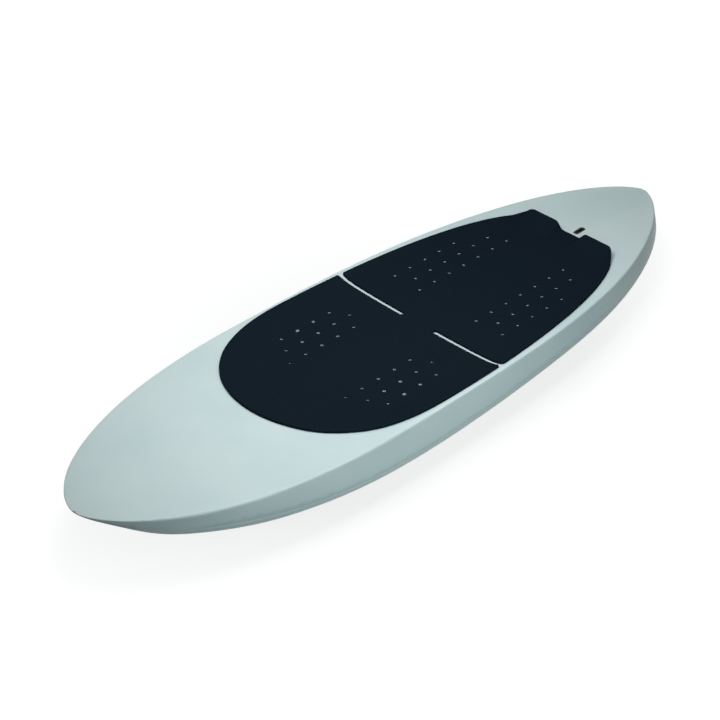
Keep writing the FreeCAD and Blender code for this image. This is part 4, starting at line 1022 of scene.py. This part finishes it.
def grid_points(start, end, step):
    """Places of a staggered grid that keep clear of every rim."""
    places = []
    row = 0
    x = start
    while x < end:
        y = -PAD_HALF_WIDTH + (row % 2) * step / 2
        while y < PAD_HALF_WIDTH:
            if on_foam(x, y) and rim_tree.find((x, y, 0))[2] > RIM_CLEAR_SHARE * step:
                places.append(Vector((x, y)))
            y += step
        x += step * GRID_ROW_SHARE
        row += 1
    return places


grid_break = PAD_TAIL_X + KICK_LENGTH + 2 * CREASE_SOFTNESS
grid = grid_points(PAD_TAIL_X, grid_break, KICK_GRID_STEP)
grid += grid_points(grid_break, PAD_NOSE_X, GRID_STEP)
print(len(grid), "points in the grid")

# %% [markdown]
# ## Filling the sheet
#
# A Delaunay triangulation joins rims and grid into the most even triangles there are, and keeps
# every rim as a fence. It fills the holes too, so triangles whose middle lies in one are dropped.

# %% Fill the sheet
INSIDE_ONLY = 1
SAME_POINT = 1e-7

fences = []
start = 0
for loop in inner_loops:
    fences += [(start + step, start + (step + 1) % len(loop)) for step in range(len(loop))]
    start += len(loop)
filled = delaunay_2d_cdt(rim_points + grid, fences, [], INSIDE_ONLY, SAME_POINT)
spots, faces = filled[0], filled[2]


def in_hole(triangle):
    """True where a triangle's middle lies in the hole of an insert."""
    middle = sum((spots[index] for index in triangle), Vector((0, 0))) / 3
    return hole_tree.find((middle.x, middle.y, 0))[2] < HOLE_LIP


triangles = [face for face in faces if not in_hole(face)]
spot_tree = search_tree(spots)
print(len(spots), "points and", len(triangles), "triangles in the sheet")

# %% [markdown]
# ## The two faces of the pad
#
# The triangles become the upper face and, turned over, the lower one. Heights are read from the
# deck at every point, so the sheet follows the dish without any wrapping afterwards.

# %% Raise both faces
body = bmesh.new()
tops = [body.verts.new((spot.x, spot.y, pad_top(spot.x, spot.y))) for spot in spots]
feet = [body.verts.new((spot.x, spot.y, pad_bottom(spot.x, spot.y))) for spot in spots]
for triangle in triangles:
    first, second, third = triangle
    turning = (spots[second] - spots[first]).cross(spots[third] - spots[first])
    ordered = (first, second, third) if turning > 0 else (third, second, first)
    body.faces.new([tops[index] for index in ordered])
    body.faces.new([feet[index] for index in reversed(ordered)])
print(len(body.faces), "faces above and below")

# %% [markdown]
# ## The rounded rims
#
# Between the two faces each loop gets a ring for every step of its rounded edge, and one for the
# foot of its wall. A hole also gets its lip: the wall steps back below it to the insert's neck.

# %% Wrap the rims
RIM_STEPS = 4
LIP_DEPTH = 1.5 * MM


def ring(points, heights):
    """New corners along a loop."""
    return [body.verts.new((spot.x, spot.y, height)) for spot, height in zip(points, heights)]


def join(upper, lower):
    """Faces between two rings of the same loop, facing away from the foam."""
    count = len(upper)
    for step in range(count):
        after = (step + 1) % count
        body.faces.new((upper[step], lower[step], lower[after], upper[after]))


def lowered(points, depth):
    """Heights that lie a depth below the pad's upper face."""
    return [pad_top(spot.x, spot.y) - depth for spot in points]


def wrap(loop, radius, inner):
    """The wall of one loop, from the upper face down to the lower one."""
    at = [spot_tree.find((spot.x, spot.y, 0))[1] for spot in inner]
    above = [tops[index] for index in at]
    normals = inward_normals(loop)
    for step in range(1, RIM_STEPS + 1):
        angle = math.pi / 2 * step / RIM_STEPS
        inset = radius * (1 - math.sin(angle))
        points = [spot + normal * inset for spot, normal in zip(loop, normals)]
        below = ring(points, lowered(points, radius * (1 - math.cos(angle))))
        join(above, below)
        above = below
    if loop is not outline:
        lip = ring(loop, lowered(loop, LIP_DEPTH))
        join(above, lip)
        loop = [spot - normal * (HOLE_LIP - HOLE_RADIUS) for spot, normal in zip(loop, normals)]
        above = ring(loop, lowered(loop, LIP_DEPTH))
        join(lip, above)
    foot = ring(loop, [pad_bottom(spot.x, spot.y) for spot in loop])
    join(above, foot)
    join(foot, [feet[index] for index in at])


for (loop, radius), inner in zip(loops, inner_loops):
    wrap(loop, radius, inner)
print(len(body.faces), "faces in all")

# %% [markdown]
# ## The pad on the board
#
# The finished sheet is one closed mesh. It is smooth across its rounded rims and sharp at the
# foot of its walls. It stands for the solid pad and for both wedges below the kick, because the
# humps are part of the sheet. Cloth could be simulated over the wedges, but foam that is formed
# under heat and glued down has no folds, so it counts as a padded piece that is filled tight.

# %% Lay the pad on the board
PAD_SMOOTH_ANGLE = math.radians(50)

pad_mesh = bpy.data.meshes.new("pad_and_kick")
body.to_mesh(pad_mesh)
body.free()
pad = bpy.data.objects.new("pad_and_kick", pad_mesh)
scene.collection.objects.link(pad)
pad_mesh.materials.append(pad_foam)
only(pad)
bpy.ops.object.shade_smooth_by_angle(angle=PAD_SMOOTH_ANGLE)
stands_for(pad, "deck_foam", "deck_pad", "kick_wedge_left", "kick_wedge_right")
loose = sum(1 for edge in pad_mesh.edges if edge.is_loose)
print("pad:", len(pad_mesh.polygons), "faces,", loose, "loose edges")

# %% [markdown]
# ## The handle's rubber sleeve
#
# The bar of the carry handle wears a sleeve of soft rubber with ribs for wet fingers. A bump
# could fake them, but the handle is seen from close by, so they are modelled. The sleeve starts
# as a block of its own size. Its ends are opened and its long edges rounded.

# %% Block out the sleeve
SLEEVE_ROUND = 4 * MM
SLEEVE_ROUND_STEPS = 6
FACING = 0.9

low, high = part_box("handle_grip")
middle, span = (low + high) / 2, high - low
bpy.ops.object.select_all(action="DESELECT")
bpy.ops.mesh.primitive_cube_add(size=1, location=middle, scale=span)
sleeve = bpy.context.object
sleeve.name = "ribbed_sleeve"
bpy.ops.object.transform_apply(location=True, rotation=True, scale=True)
bpy.ops.object.mode_set(mode="EDIT")


def pick(kind, test):
    """Selects only the faces or edges of the sleeve that pass a test."""
    bpy.ops.mesh.select_mode(type=kind)
    bpy.ops.mesh.select_all(action="DESELECT")
    mesh = bmesh.from_edit_mesh(sleeve.data)
    for element in mesh.faces if kind == "FACE" else mesh.edges:
        if test(element):
            element.select_set(True)


def is_long(edge):
    """True for an edge that runs along the bar."""
    return abs(edge.verts[0].co.x - edge.verts[1].co.x) > span.x / 2


pick("FACE", lambda face: abs(face.normal.x) > FACING)
bpy.ops.mesh.delete(type="ONLY_FACE")
pick("EDGE", is_long)
bpy.ops.mesh.bevel(offset=SLEEVE_ROUND, segments=SLEEVE_ROUND_STEPS, affect="EDGES")
print("sleeve", [round(side / MM, 1) for side in span], "mm")

# %% [markdown]
# ## The ribs
#
# The block is divided into bands, and every other band is drawn in a little, so that the others
# stand as ribs. A wall turned inwards makes it a sleeve that leaves room for the bar, and a small
# bevel breaks its edges.

# %% Draw in the ribs
RIB_COUNT = 15
RIB_DEPTH = 0.7 * MM
RIB_SLOPE = 0.5 * MM
SLEEVE_WALL = 1.5 * MM
SLEEVE_EDGE = 0.25 * MM
SLEEVE_SMOOTH_ANGLE = math.radians(40)

band = span.x / (2 * RIB_COUNT)
for step in range(1, 2 * RIB_COUNT):
    place = low.x + span.x * step / (2 * RIB_COUNT)
    bpy.ops.mesh.select_all(action="SELECT")
    bpy.ops.mesh.bisect(plane_co=(place, middle.y, middle.z), plane_no=(1, 0, 0))
pick("FACE", lambda face: int((face.calc_center_median().x - low.x) / band) % 2 == 1)
bpy.ops.mesh.inset(thickness=RIB_SLOPE, depth=-RIB_DEPTH, use_boundary=False)
bpy.ops.object.mode_set(mode="OBJECT")
wall = sleeve.modifiers.new("wall", "SOLIDIFY")
wall.thickness = SLEEVE_WALL
wall.offset = -1
edge_soft = sleeve.modifiers.new("edge", "BEVEL")
edge_soft.width = SLEEVE_EDGE
edge_soft.segments = BEVEL_STEPS
edge_soft.limit_method = "ANGLE"
apply_modifiers(sleeve)
bpy.ops.object.shade_smooth_by_angle(angle=SLEEVE_SMOOTH_ANGLE)
sleeve.data.materials.append(grip_rubber)
stands_for(sleeve, "grip_rubber", "handle_grip")
print("sleeve:", len(sleeve.data.polygons), "faces,", RIB_COUNT, "ribs")

# %% [markdown]
# ## The size of the dressed board
#
# The box of the construction and the box of the dressed board are printed side by side, axis by axis.

# %% Write the two boxes
seen_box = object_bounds()
for axis, letter in enumerate("XYZ"):
    for title, box in (("construction", cad_box), ("dressed", seen_box)):
        print(letter, title, [round(corner[axis], 4) for corner in box])
